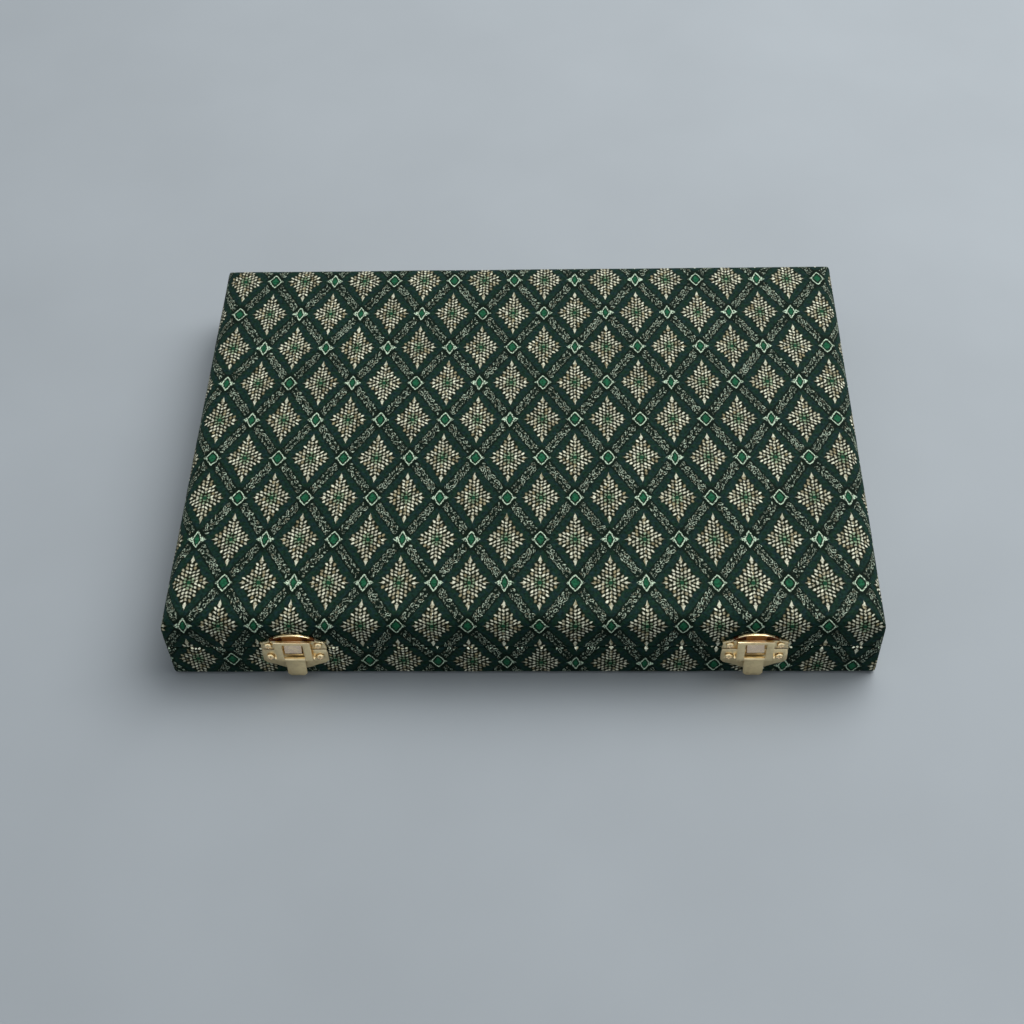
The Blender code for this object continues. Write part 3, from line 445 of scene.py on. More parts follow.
def flock_nap():
    """Node group: short upright fibres with brushed light and dark patches."""
    inputs = (
        ("Colour", COLOUR, (0.01, 0.06, 0.04, 1.0)),
        ("Fibre Scale", FLOAT, 2600.0),
        ("Patch Scale", FLOAT, 38.0),
    )
    tree, given, result = effect("Flock nap", inputs, (("Color", COLOUR), ("Height", FLOAT)))
    fibre = cloud(tree, given["Place"], given["Fibre Scale"], 1.0)
    # Painted sheen: broad lighter and darker patches, as brushed nap catches the light
    patch = cloud(tree, given["Place"], given["Patch Scale"], 3.0).ramp(0.35, 0.65)
    plug(shade_colour(given["Colour"], fibre * 0.7 + patch * 0.45 + 0.42), result.inputs["Color"])
    plug(fibre * 0.25 + patch * 0.10, result.inputs["Height"])
    return tree


def gilt_wear():
    """Node group: gilt plate with duller patches, fine scratches and a soft ripple."""
    inputs = (
        ("Gilt", COLOUR, (1.0, 0.82, 0.49, 1.0)),
        ("Dull", COLOUR, (0.60, 0.42, 0.21, 1.0)),
        ("Polish", FLOAT, 0.30),
    )
    outputs = (("Color", COLOUR), ("Roughness", FLOAT), ("Height", FLOAT))
    tree, given, result = effect("Gilt wear", inputs, outputs)
    patch = cloud(tree, given["Place"], 420.0, 3.0).ramp(0.45, 0.78)
    stretch = vector_math(tree, "MULTIPLY", {0: given["Place"], 1: (900.0, 900.0, 9000.0)})
    scratch = cloud(tree, stretch, 1.0, 2.0).ramp(0.60, 0.74)
    ripple = cloud(tree, given["Place"], 260.0, 1.0)
    plug(join_colours(given["Gilt"], given["Dull"], patch * 0.45), result.inputs["Color"])
    plug(given["Polish"] + patch * 0.16 + scratch * 0.08, result.inputs["Roughness"])
    plug(ripple * 0.12 + scratch * 0.01, result.inputs["Height"])
    return tree


def board_fibre():
    """Node group: pressed board or paper with fibres and flecks."""
    inputs = (
        ("Colour", COLOUR, (0.40, 0.28, 0.17, 1.0)),
        ("Fleck", COLOUR, (0.20, 0.13, 0.08, 1.0)),
    )
    tree, given, result = effect("Board fibre", inputs, (("Color", COLOUR), ("Height", FLOAT)))
    fibre = cloud(tree, given["Place"], 900.0, 4.0, 0.7)
    fleck = cloud(tree, given["Place"], 340.0, 1.0).ramp(0.66, 0.72)
    colour = shade_colour(given["Colour"], fibre * 0.5 + 0.75)
    plug(join_colours(colour, given["Fleck"], fleck * 0.6), result.inputs["Color"])
    plug(fibre * 0.06, result.inputs["Height"])
    return tree


GROUPS = {
    "Brocade weave": brocade_weave,
    "Cloud tone": cloud_tone,
    "Flock nap": flock_nap,
    "Gilt wear": gilt_wear,
    "Board fibre": board_fibre,
}


def place_effect(tree, name, inputs):
    """Put a node group in a material, with its own values."""
    group = bpy.data.node_groups.get(name) or GROUPS[name]()
    made = tree.nodes.new("ShaderNodeGroup")
    made.node_tree = group
    for label, value in inputs.items():
        plug(value, made.inputs[label])
    return {slot.name: Wire(tree, slot) for slot in made.outputs}


def start_material(name, **constants):
    """A node material with its Principled shader and the surface's own place."""
    made = bpy.data.materials.new(name)
    made.use_nodes = True
    tree = made.node_tree
    shader = tree.nodes["Principled BSDF"]
    for label, value in constants.items():
        shader.inputs[label.replace("_", " ")].default_value = value
    place = Wire(tree, tree.nodes.new("ShaderNodeTexCoord").outputs["Object"])
    return made, tree, shader, place


def raise_surface(tree, shader, height, strength):
    """Bump from a height in millimetres."""
    inputs = {"Height": height, "Strength": strength, "Distance": MM}
    bump = make_node(tree, "ShaderNodeBump", inputs)
    plug(bump, shader.inputs["Normal"])


def opaque(colour):
    """A colour with full alpha."""
    return (*colour[:3], 1.0)


def brocade_material(name, origin, turn, ease):
    """Brocade on the cloth's own map: its first rosette's place, its turn, its ease in width."""
    cloth = bpy.context.scene.amulet_cloth
    made, tree, shader, _ = start_material(name, Specular_IOR_Level=0.04)
    uv = make_node(tree, "ShaderNodeUVMap", {}, uv_map="Cloth")
    inputs = {"Vector": uv, "Location": (*origin, 0.0), "Rotation": (0.0, 0.0, turn)}
    inputs["Scale"] = (ease, 1.0, 1.0)
    place = make_node(tree, "ShaderNodeMapping", inputs, vector_type="TEXTURE")
    inputs = {"Place": place, "Across": cloth.across, "Down": cloth.down}
    for key, label, _, _ in THREADS:
        inputs[label] = opaque(getattr(cloth, key))
    weave = place_effect(tree, "Brocade weave", inputs)
    fold = Wire(tree, tree.nodes.new("ShaderNodeAttribute").outputs["Fac"])
    fold.socket.node.attribute_name = "fold"
    rubbed = cloud(tree, uv, 240.0, 3.0).ramp(0.42, 0.62) * fold.least(1.0)
    tone = place_effect(tree, "Cloud tone", {"Place": uv, "Scale": 26.0, "Low": 0.90, "High": 1.10})
    # Painted highlight: past a fold mark of 1, on the base's rim, the gold threads are painted
    # paler
    rim_glint = (fold - 1.0).most(0.0) * weave["Height"]
    paler = rubbed * RUBBED_PALER + rim_glint * RIM_GLINT_GAIN
    colour = shade_colour(weave["Color"], tone["Value"] + paler)
    plug(colour, shader.inputs["Base Color"])
    plug(weave["Roughness"] + rubbed * 0.08, shader.inputs["Roughness"])
    raise_surface(tree, shader, weave["Height"], 0.8)
    return made


def gilt_material(name, polish, gilt, dull):
    """Gilt brass. The worn edges of a piece are paler and smoother."""
    made, tree, shader, place = start_material(name, Metallic=1.0)
    inputs = {"Place": place, "Gilt": opaque(gilt), "Dull": opaque(dull), "Polish": polish}
    wear = place_effect(tree, "Gilt wear", inputs)
    plug(wear["Color"], shader.inputs["Base Color"])
    plug(wear["Roughness"], shader.inputs["Roughness"])
    raise_surface(tree, shader, wear["Height"], 0.6)
    return made


def steel_material(name):
    """Blued spring wire."""
    made, tree, shader, place = start_material(name, Metallic=1.0)
    inputs = {"Place": place, "Scale": 900.0, "Low": 0.8, "High": 1.15}
    tone = place_effect(tree, "Cloud tone", inputs)
    steel = opaque(bpy.context.scene.amulet_metal.steel)
    plug(shade_colour(steel, tone["Value"]), shader.inputs["Base Color"])
    plug(tone["Value"] * 0.35, shader.inputs["Roughness"])
    return made


def nap_material(name, colour, sheen, fibre_scale):
    """Flocked card or velvet."""
    made, tree, shader, place = start_material(
        name, Roughness=0.95, Sheen_Weight=sheen, Sheen_Roughness=0.45, Specular_IOR_Level=0.2
    )
    paler = [min(part * 6 + 0.05, 1.0) for part in colour]
    shader.inputs["Sheen Tint"].default_value = opaque(paler)
    inputs = {"Place": place, "Colour": opaque(colour), "Fibre Scale": fibre_scale}
    nap = place_effect(tree, "Flock nap", inputs)
    plug(nap["Color"], shader.inputs["Base Color"])
    raise_surface(tree, shader, nap["Height"], 0.7)
    return made


def fibre_material(name, colour, fleck_tone):
    """Greyboard or backing paper, with flecks in a tone of its own colour."""
    made, tree, shader, place = start_material(name, Roughness=0.9)
    fleck = opaque([part * fleck_tone for part in colour])
    inputs = {"Place": place, "Colour": opaque(colour), "Fleck": fleck}
    fibre = place_effect(tree, "Board fibre", inputs)
    plug(fibre["Color"], shader.inputs["Base Color"])
    raise_surface(tree, shader, fibre["Height"], 0.8)
    return made


def material(name):
    """One of the box's finishes, made when it is first asked for."""
    if name in bpy.data.materials:
        return bpy.data.materials[name]
    lining, metal = bpy.context.scene.amulet_lining, bpy.context.scene.amulet_metal
    makers = {
        "lid brocade": lambda: brocade_material(name, *LID_LATTICE),
        "base brocade": lambda: brocade_material(name, *BASE_LATTICE),
        "gilt brass": lambda: gilt_material(name, 0.30, metal.gilt, metal.dull),
        "worn gilt edge": lambda: gilt_material(name, 0.22, metal.edge, metal.gilt),
        # Painted shade: half-shaded and darkest gilt for the catch's pocket, and the darkest also
        # under its nub
        "half-shaded gilt": lambda: gilt_material(name, 0.42, metal.half_shade, metal.shadow),
        "shaded gilt": lambda: gilt_material(name, 0.50, metal.shadow, metal.half_shade),
        "spring steel": lambda: steel_material(name),
        "flocked card": lambda: nap_material(name, lining.flock, 0.35, 2600.0),
        "velvet": lambda: nap_material(name, lining.velvet, 0.60, 1900.0),
        "greyboard": lambda: fibre_material(name, lining.board, 0.45),
        "backing paper": lambda: fibre_material(name, lining.paper, 1.8),
    }
    return makers[name]()


def box_shape(low, high):
    """A box between two corners, from a unit cube."""
    bm = bmesh.new()
    bmesh.ops.create_cube(bm, size=1.0)
    size = [high[axis] - low[axis] for axis in range(3)]
    bmesh.ops.scale(bm, verts=bm.verts, vec=size)
    bmesh.ops.translate(bm, verts=bm.verts, vec=[(low[axis] + high[axis]) / 2 for axis in range(3)])
    return bm


def round_off(bm, parts, width, segments, affect="EDGES"):
    """Bevel edges, or corners, to a round."""
    bmesh.ops.bevel(
        bm,
        geom=list(parts),
        offset=width,
        offset_type="OFFSET",
        affect=affect,
        segments=segments,
        profile=0.5,
        material=-1,
    )


def upright(bm):
    """The upright edges of a box."""
    return [edge for edge in bm.edges if abs(edge.verts[0].co.z - edge.verts[1].co.z) > TINY]


def lying_face(bm, sign):
    """The single flat face that looks up (1) or down (-1)."""
    bm.normal_update()
    return max(bm.faces, key=lambda face: sign * face.normal.z * face.calc_area())


def open_face(bm, face):
    """Take a face out and give the loop of edges round the hole."""
    edges = list(face.edges)
    bmesh.ops.delete(bm, geom=[face], context="FACES_ONLY")
    return edges


def ring_face(bm, inset, height, radius, segments):
    """A rounded rectangle that lies inset from the outside of the box."""
    made = bmesh.ops.create_grid(bm, x_segments=1, y_segments=1, size=1.0)["verts"]
    bmesh.ops.scale(bm, verts=made, vec=(HALF_WIDTH - inset, HALF_DEPTH - inset, 1.0))
    bmesh.ops.translate(bm, verts=made, vec=(0.0, 0.0, height))
    round_off(bm, made, radius, segments, "VERTICES")
    return next(
        face
        for face in bm.faces
        if len(face.verts) > 4 and all(abs(vert.co.z - height) < TINY for vert in face.verts)
    )


def inner_loop(bm, inset, height, radius, segments):
    """The edges of a rounded rectangle that lies inset from the outside of the box."""
    return open_face(bm, ring_face(bm, inset, height, radius, segments))


def turn_in(bm, outer, inset, height, away):
    """Bridge a loop to one inset at its height, made a little away so that no face twists."""
    inner = inner_loop(bm, inset, height + away, FOLD, bpy.context.scene.amulet_cloth.steps)
    bmesh.ops.bridge_loops(bm, edges=outer + inner)
    moved = list({vertex for edge in inner for vertex in edge.verts})
    bmesh.ops.translate(bm, verts=moved, vec=(0.0, 0.0, -away))
    return inner


def pull_loop(bm, edges, height):
    """Extrude a loop of edges straight up or down."""
    made = bmesh.ops.extrude_edge_only(bm, edges=edges)["geom"]
    moved = [part for part in made if isinstance(part, bmesh.types.BMVert)]
    bmesh.ops.translate(bm, verts=moved, vec=(0.0, 0.0, height))


def steps(low, high, pitch):
    """Even steps strictly between two places, near a pitch apart."""
    count = max(int(round((high - low) / pitch)), 1)
    return [low + (high - low) * index / count for index in range(1, count)]


def slice_along(bm, axis, places):
    """Cut the mesh across at each place along an axis."""
    normal = Vector([float(axis == index) for index in range(3)])
    for place in places:
        geom = [*bm.verts, *bm.edges, *bm.faces]
        bmesh.ops.bisect_plane(bm, geom=geom, dist=TINY, plane_co=normal * place, plane_no=normal)


def slice_even(bm, half_x, half_y, pitch):
    """Cut the mesh evenly across both ways, near a pitch apart."""
    slice_along(bm, 0, steps(-half_x, half_x, pitch))
    slice_along(bm, 1, steps(-half_y, half_y, pitch))


def near_edge(first, second, reach):
    """1 on an edge that lies at no distance both ways, 0 from the reach on."""
    return max(1.0 - max(first, second) / reach, 0.0)


def rest_cloth(bm, folds):
    """Give the cloth its slight waver, and mark how far its folds are rubbed."""
    layer = bm.verts.layers.float.new("fold")
    bm.normal_update()
    moves = []
    for vertex in bm.verts:
        x, y, z = vertex.co
        side, end = HALF_DEPTH - abs(y), HALF_WIDTH - abs(x)
        wall = min(side, end)
        rims = [rub_and_glint * near_edge(wall, abs(z - height), reach) for height, reach, rub_and_glint in folds]
        vertex[layer] = max(near_edge(side, end, RUBBED_CORNER), *rims)
        waver = noise.noise(vertex.co * SLOW_SCALE) * SLOW_WAVER
        waver += noise.noise(vertex.co * QUICK_SCALE) * QUICK_WAVER
        moves.append(vertex.normal * waver)
    for vertex, move in zip(bm.verts, moves):
        vertex.co += move


def add_object(name, data):
    """Make an object and put it in the scene."""
    made = bpy.data.objects.new(name, data)
    bpy.context.scene.collection.objects.link(made)
    return made


def add_piece(name, bm, body, nodes, materials):
    """Make an object of a bmesh and say which body it rides on and what it replaces."""
    mesh = bpy.data.meshes.new(name)
    bm.to_mesh(mesh)
    bm.free()
    mesh.shade_smooth()
    for title in materials:
        mesh.materials.append(material(title))
    piece = add_object(name, mesh)
    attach(piece, body)
    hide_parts(*nodes)
    return piece


def add_thickness(piece, thickness):
    """A wall of even thickness, grown inwards from the modelled face."""
    wall = piece.modifiers.new("Thickness", "SOLIDIFY")
    wall.thickness = thickness
    wall.offset = -1.0
    wall.use_even_offset = True


def map_cloth(bm, find_place):
    """Map the cloth flat, by a function that finds where each point lies on it."""
    layer = bm.loops.layers.uv.new("Cloth")
    for face in bm.faces:
        middle = face.calc_center_median()
        on_end = HALF_WIDTH - abs(middle.x) < HALF_DEPTH - abs(middle.y)
        for loop in face.loops:
            x, y, z = loop.vert.co
            inset = min(HALF_WIDTH - abs(x), HALF_DEPTH - abs(y))
            loop[layer].uv = find_place(x, y, z, inset, middle, on_end)


def lid_place(x, y, z, inset, middle, on_end):
    """Where a point of the lid's cover lies on its flat sheet."""
    low, top = LID_LOW.z, LID_HIGH.z
    if middle.z > top - TINY:
        return x, y
    run = TOP_EDGE - inset + top - z
    if middle.z < low + RIM_EDGE or inset > RIM_WIDTH - TINY:
        run = TOP_EDGE + top - low + inset + (z - low if inset > RIM_WIDTH / 2 else 0.0)
    if on_end:
        return math.copysign(HALF_WIDTH - TOP_EDGE + run, x), y
    return x, math.copysign(HALF_DEPTH - TOP_EDGE + run, y)


def base_place(x, y, z, inset, middle, on_end):
    """Where a point of the base's cover lies on its flat strip."""
    low, top = BASE_LOW.z, BASE_HIGH.z
    if z <= (low + top) / 2:
        down = z - inset
    elif inset > RIM_WIDTH / 2:
        down = top + inset + top - z
    else:
        down = z + inset
    if on_end:
        return math.copysign(HALF_WIDTH + HALF_DEPTH + y, x), down
    if middle.y < 0:
        return x, down
    return math.copysign(2 * (HALF_WIDTH + HALF_DEPTH) - abs(x), x), down


def lid_cover():
    """Brocade over the lid: one cut sheet, its corners mitred, turned in over the rim."""
    cloth = bpy.context.scene.amulet_cloth
    low, top = LID_LOW.z, LID_HIGH.z
    bm = bmesh.new()
    upper = list(ring_face(bm, TOP_EDGE, top, FOLD, cloth.steps).edges)
    for step in range(1, cloth.steps + 2):
        angle = math.pi / 2 * min(step / cloth.steps, 1.0)
        inset = TOP_EDGE * (1 - math.sin(angle))
        height = top - TOP_EDGE * (1 - math.cos(angle)) if step <= cloth.steps else low
        lower = inner_loop(bm, inset, height, max(CORNER - inset, FOLD), cloth.steps)
        bmesh.ops.bridge_loops(bm, edges=upper + lower)
        upper = lower
    inner = turn_in(bm, lower, RIM_WIDTH, low, -RIM_EDGE)
    pull_loop(bm, inner, WALL_TURN_IN)
    round_off(bm, lower + inner, RIM_EDGE, 4)
    slice_even(bm, HALF_WIDTH, HALF_DEPTH, cloth.mesh_step)
    slice_along(bm, 2, steps(low, top - TOP_EDGE, cloth.mesh_step))
    face_out(bm, Vector((0.0, 0.0, top)))

    map_cloth(bm, lid_place)
    rest_cloth(bm, ((top, RUBBED_TOP, 1.0), (low, RUBBED_LID_RIM, 1.0)))

    piece = add_piece(
        "lid_cover_cloth", bm, "lid", ["lid_brocade_cover"], ["lid brocade"]
    )
    add_thickness(piece, cloth.thickness)
    run = TOP_EDGE * (math.pi / 2 - 1) + top - low + RIM_WIDTH + WALL_TURN_IN
    width = 2 * (HALF_WIDTH - TOP_EDGE + run)
    length = 2 * (HALF_DEPTH - TOP_EDGE + run)
    cut = width * length - 4 * run * run


def face_out(bm, outside):
    """Make an open shell's faces look away from the case, by its face nearest a place outside."""
    bmesh.ops.recalc_face_normals(bm, faces=bm.faces)
    bm.normal_update()
    nearest = min(bm.faces, key=lambda face: (face.calc_center_median() - outside).length)
    away = outside - Vector((0.0, 0.0, (LOW.z + HIGH.z) / 2))
    if nearest.normal.dot(away) < 0:
        bmesh.ops.reverse_faces(bm, faces=bm.faces)


def base_cover():
    """Brocade round the base: one strip, turned in under the floor and over the rim."""
    cloth = bpy.context.scene.amulet_cloth
    low, top = BASE_LOW.z, BASE_HIGH.z
    bm = box_shape(BASE_LOW, BASE_HIGH)
    round_off(bm, upright(bm), CORNER, cloth.steps)
    top_outer = open_face(bm, lying_face(bm, 1))
    top_inner = turn_in(bm, top_outer, RIM_WIDTH, top, RIM_EDGE)
    pull_loop(bm, top_inner, -WALL_TURN_IN)
    bottom_outer = open_face(bm, min(bm.faces, key=lambda face: face.calc_center_median().z))
    turn_in(bm, bottom_outer, BOTTOM_TURN_IN, low, -RIM_EDGE)
    round_off(bm, top_outer + top_inner, RIM_EDGE, 4)
    round_off(bm, [edge for edge in bottom_outer if edge.is_valid], BOTTOM_EDGE, 4)
    slice_even(bm, HALF_WIDTH, HALF_DEPTH, cloth.mesh_step)
    slice_along(bm, 2, [*steps(low, top, cloth.mesh_step), top - RIM_RUB_AND_GLINT])
    face_out(bm, Vector((0.0, -2 * HALF_DEPTH, (low + top) / 2)))

    map_cloth(bm, base_place)
    # The base rim's mark paints a highlight on its gold threads as well as rubbing them
    rest_cloth(bm, ((top, RIM_RUB_AND_GLINT, RIM_GLINT), (low, RUBBED_BOTTOM, 1.0)))

    piece = add_piece(
        "base_cover_cloth", bm, "base", ["base_brocade_cover"], ["base brocade"]
    )
    add_thickness(piece, cloth.thickness)


def soften(piece, width, segments, angle):
    """Round a piece's edges that turn by more than an angle in degrees."""
    rounding = piece.modifiers.new("Rounding", "BEVEL")
    rounding.width = width
    rounding.segments = segments
    rounding.limit_method = "ANGLE"
    rounding.angle_limit = math.radians(angle)
    return rounding


def rounded_copy(name, node, titles, width, segments=2):
    """A copy of a CAD node with its edges rounded. A second finish goes on the rounds."""
    body = NODES[node]["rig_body"]
    bm = bmesh.new()
    bm.from_mesh(NODES[node].data)
    bmesh.ops.remove_doubles(bm, verts=bm.verts, dist=WELD)
    bmesh.ops.dissolve_limit(bm, angle_limit=FLAT_ANGLE, verts=bm.verts, edges=bm.edges)
    bmesh.ops.recalc_face_normals(bm, faces=bm.faces)
    piece = add_piece(name, bm, body, [node], titles)
    rounding = soften(piece, width, segments, 38)
    rounding.harden_normals = True
    rounding.material = len(titles) - 1
    return piece


def lid_cushion():
    """Velvet pad under the lid: crowned, and gathered where it is pulled round its card."""
    lining = bpy.context.scene.amulet_lining
    low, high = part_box("lid_pad")
    half_x, half_y, top = high.x, high.y, high.z
    crown = lining.crown
    skirt = low.z + crown
    bm = box_shape((-half_x, -half_y, skirt), (half_x, half_y, top))
    round_off(bm, upright(bm), PAD_CORNER, 4)
    round_off(bm, lying_face(bm, -1).edges, PAD_LIP, 5)
    slice_even(bm, half_x, half_y, lining.mesh_step)
    bm.normal_update()
    moves = []
    for vertex in bm.verts:
        x, y, z = vertex.co
        u, v = x / half_x, y / half_y
        side, end = half_y - abs(y), half_x - abs(x)
        depth = (top - z) / (top - skirt)
        sag = crown * (1 - u ** 6) * (1 - v ** 6) * depth
        edge = min(side, end)
        along = x if side < end else y
        gather = math.exp(-((edge / GATHER_REACH) ** 2)) * min(edge / GATHER_START, 1.0)
        stray = noise.noise(Vector((along * STRAY_SCALE, 3.7 if side < end else 9.1, 0.0)))
        beat = along / GATHER_PITCH + STRAY * stray
        ripple = math.sin(2 * math.pi * beat) * GATHER_RISE * gather * depth
        soft = noise.noise(Vector((x, y, 0.4)) * SOFT_SCALE) * SOFT * depth
        draw = PAD_DRAW * math.sin(math.pi * depth) if edge < PAD_BORDER else 0.0
        if end < side:
            inward = (-math.copysign(draw * (1 - v * v), x), 0.0)
        else:
            inward = (0.0, -math.copysign(draw * (1 - u * u), y))
        moves.append(Vector((*inward, -sag - ripple + soft)))
    for vertex, move in zip(bm.verts, moves):
        vertex.co += move
    piece = add_piece("lid_cushion", bm, "lid", ["lid_pad"], ["velvet"])
    smooth = piece.modifiers.new("Smooth", "SUBSURF")
    smooth.levels = smooth.render_levels = 1


def finish_node(node, title):
    """Give a CAD node that stays its own procedural finish."""
    mesh = NODES[node].data
    mesh.materials.clear()
    mesh.materials.append(material(title))


def catch_pocket(piece, middle):
    """Darker gilt on the faces of a catch plate that lie in its pocket, behind the rim."""
    bm = bmesh.new()
    bm.from_mesh(piece.data)
    slice_along(bm, 2, [POCKET_LOW])
    for side in (-1, 1):
        slice_along(bm, 0, [middle + side * place for place in (POCKET_MIDDLE, POCKET_REACH)])
    bm.normal_update()
    for face in bm.faces:
        x, y, z = face.calc_center_median()
        out, across = -y - HALF_DEPTH, abs(x - middle)
        inside = z > POCKET_LOW and across < POCKET_REACH and out < POCKET_OUT
        if inside and abs(face.normal.z) < 0.9:
            # Painted shade: half-shaded gilt in the pocket's middle, the darkest gilt at its sides
            face.material_index = 1 if across < POCKET_MIDDLE else 2
    bm.to_mesh(piece.data)
    bm.free()


def catch_nub(hand, middle):
    """The catch's nub in the flap's window: a lead-in slope above a rounded belly."""
    top, crest, bottom = (LID_LOW.z + height for height in (NUB_TOP, NUB_CREST, NUB_BOTTOM))
    front, back = -HALF_DEPTH - NUB_ROOT, -HALF_DEPTH - NUB_BACK
    left, right = middle - NUB_HALF_WIDTH, middle + NUB_HALF_WIDTH
    bm = box_shape((left, front, bottom), (right, back, top))
    slice_along(bm, 2, [crest])
    for vertex in bm.verts:
        if vertex.co.y < front + TINY and abs(vertex.co.z - crest) < TINY:
            vertex.co.y = -HALF_DEPTH - NUB_OUT
    bmesh.ops.recalc_face_normals(bm, faces=bm.faces)
    # Painted shade: the faces below the crest take the darkest gilt
    for face in bm.faces:
        face.material_index = int(face.calc_center_median().z < crest)
    plate = f"{hand}_latch_catch_plate"
    titles = ["worn gilt edge", "shaded gilt"]
    piece = add_piece(f"{hand}_catch_nub", bm, "lid", [plate], titles)
    soften(piece, NUB_ROUND, 4, 20)


def latch(hand):
    """One latch: plates, flap, pin, spring and the nub of its catch."""
    soft = bpy.context.scene.amulet_metal.rounding
    low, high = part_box(f"{hand}_latch_catch_plate")
    middle = (low.x + high.x) / 2
    for part in ("base_plate", "catch_plate", "flap"):
        node = f"{hand}_latch_{part}"
        titles = POCKET_GILT if part == "catch_plate" else GILT
        piece = rounded_copy(f"{node}_gilt", node, titles, soft)
        if part == "catch_plate":
            catch_pocket(piece, middle)
    catch_nub(hand, middle)
    finish_node(f"{hand}_latch_pin", "gilt brass")
    finish_node(f"{hand}_latch_spring", "spring steel")


def hinge(hand):
    """One hinge: two leaves and their pin."""
    soft = bpy.context.scene.amulet_metal.rounding
    for part in ("base_leaf", "lid_leaf", "pin"):
        node = f"{hand}_hinge_{part}"
        rounded_copy(f"{node}_gilt", node, GILT, soft)


def stage_floor():
    """The plain pale floor."""
    light = bpy.context.scene.amulet_stage
    bm = bmesh.new()
    bmesh.ops.create_grid(bm, x_segments=1, y_segments=1, size=FLOOR_HALF_SIZE)
    bmesh.ops.translate(bm, verts=bm.verts, vec=(0.0, 0.0, LOW.z - FLOOR_GAP))
    mesh = bpy.data.meshes.new("floor")
    bm.to_mesh(mesh)
    bm.free()
    made, tree, shader, place = start_material("studio floor", Roughness=0.85)
    inputs = {"Place": place, "Scale": 9.0, "Low": 0.97, "High": 1.03}
    tone = place_effect(tree, "Cloud tone", inputs)
    plug(shade_colour(opaque(light.floor), tone["Value"]), shader.inputs["Base Color"])
    mesh.materials.append(made)
    add_object("floor", mesh)


def stage_world():
    """A plain pale surround that lights the box softly and shows behind it."""
    light = bpy.context.scene.amulet_stage
    world = bpy.data.worlds.new("studio")
    bpy.context.scene.world = world
    world.use_nodes = True
    tree = world.node_tree
    sky = tree.nodes["Background"]
    path = tree.nodes.new("ShaderNodeLightPath")
    seen = Wire(tree, path.outputs["Is Camera Ray"])
    seen = seen.most(Wire(tree, path.outputs["Is Glossy Ray"]))
    seen = seen.most(Wire(tree, path.outputs["Is Transmission Ray"]))
    plug(opaque(light.surround), sky.inputs["Color"])
    plug(seen * (1.0 - light.ambient) + light.ambient, sky.inputs["Strength"])


def stage_lamp():
    """A square soft lamp, like a window, that faces the box."""
    data = bpy.data.lights.new("window", "AREA")
    data.shape = "SQUARE"
    data.size = WINDOW_SIZE
    data.energy = bpy.context.scene.amulet_stage.power
    lamp = add_object("window", data)
    lamp.location = WINDOW_PLACE
    lamp.rotation_mode = "QUATERNION"
    lamp.rotation_quaternion = (-Vector(WINDOW_PLACE)).to_track_quat("-Z", "Y")


def stage_camera():
    """The camera, at the angle that the lattice and the case's edges give."""
    pitch, heading, roll = map(math.radians, CAMERA_ANGLES)
    data = bpy.data.cameras.new("camera")
    data.sensor_width = 36.0
    data.lens = CAMERA_LENS
    data.clip_start = 0.01
    camera = add_object("camera", data)
    level = math.cos(pitch)
    forward = Vector((math.sin(heading) * level, math.cos(heading) * level, -math.sin(pitch)))
    right = Vector((math.cos(heading), -math.sin(heading), 0.0))
    below = forward.cross(right)
    across = right * math.cos(roll) + below * math.sin(roll)
    down = below * math.cos(roll) - right * math.sin(roll)
    turned = Matrix((across, -down, -forward)).transposed().to_4x4()
    camera.matrix_world = Matrix.Translation(CAMERA_PLACE) @ turned
    bpy.context.scene.camera = camera


def number(name, description, value, **limits):
    """A number property."""
    return bpy.props.FloatProperty(name=name, description=description, default=value, **limits)


def length(name, description, value, **limits):
    """A length property in metres."""
    return number(name, description, value, unit="LENGTH", precision=5, **limits)


def tint(name, description, value):
    """A colour property."""
    return bpy.props.FloatVectorProperty(
        name=name, description=description, default=value, subtype="COLOR", size=3, min=0.0, max=1.0
    )


class AmuletCloth(bpy.types.PropertyGroup):
    """Brocade of the covers."""

    across: length("Repeat Across", "Width of one lattice repeat", REPEAT_ACROSS, min=MM)
    down: length("Repeat Down", "Height of one lattice repeat", REPEAT_DOWN, min=MM)
    thickness: length("Thickness", "Thickness of the cloth", 0.5 * MM, min=0.1 * MM)
    mesh_step: length("Mesh Step", "Distance between cuts of the cloth's mesh", 5.0 * MM, min=MM)
    steps: bpy.props.IntProperty(
        name="Edge Steps", description="Steps round each edge", default=5, min=2
    )


for key, *setting in THREADS:
    AmuletCloth.__annotations__[key] = tint(*setting)


class AmuletMetal(bpy.types.PropertyGroup):
    """Latches, hinges and screws."""

    gilt: tint("Gilt", "Colour of the gilt brass", (1.0, 0.82, 0.49))
    dull: tint("Dull Gilt", "Colour of the duller patches", (0.60, 0.42, 0.21))
    edge: tint("Worn Edge", "Colour of the worn edges", (0.80, 0.62, 0.46))
    # Painted shade: the half-shaded and the darkest gilt of the catch's pocket
    half_shade: tint("Half Shade", "Browner gilt amid the catch's pocket", (0.42, 0.20, 0.060))
    shadow: tint("Shaded Gilt", "Darkest gilt in the catch's pocket", (0.085, 0.022, 0.008))
    steel: tint("Steel", "Colour of the springs", (0.32, 0.32, 0.33))
    rounding: length("Rounding", "Rounding of the stamped edges", 0.14 * MM, min=0.01 * MM)


class AmuletLining(bpy.types.PropertyGroup):
    """Everything inside the case."""

    flock: tint("Flock", "Colour of the flocked card", (0.010, 0.052, 0.036))
    velvet: tint("Velvet", "Colour of the lid's pad", (0.010, 0.060, 0.040))
    board: tint("Board", "Colour of the greyboard", (0.36, 0.27, 0.18))
    paper: tint("Paper", "Colour of the paper under the floor", (0.022, 0.030, 0.027))
    crown: length("Crown", "How far the pad swells in its middle", 2.6 * MM, min=0.0)
    mesh_step: length("Mesh Step", "Distance between cuts of the pad's mesh", 3.0 * MM, min=MM)


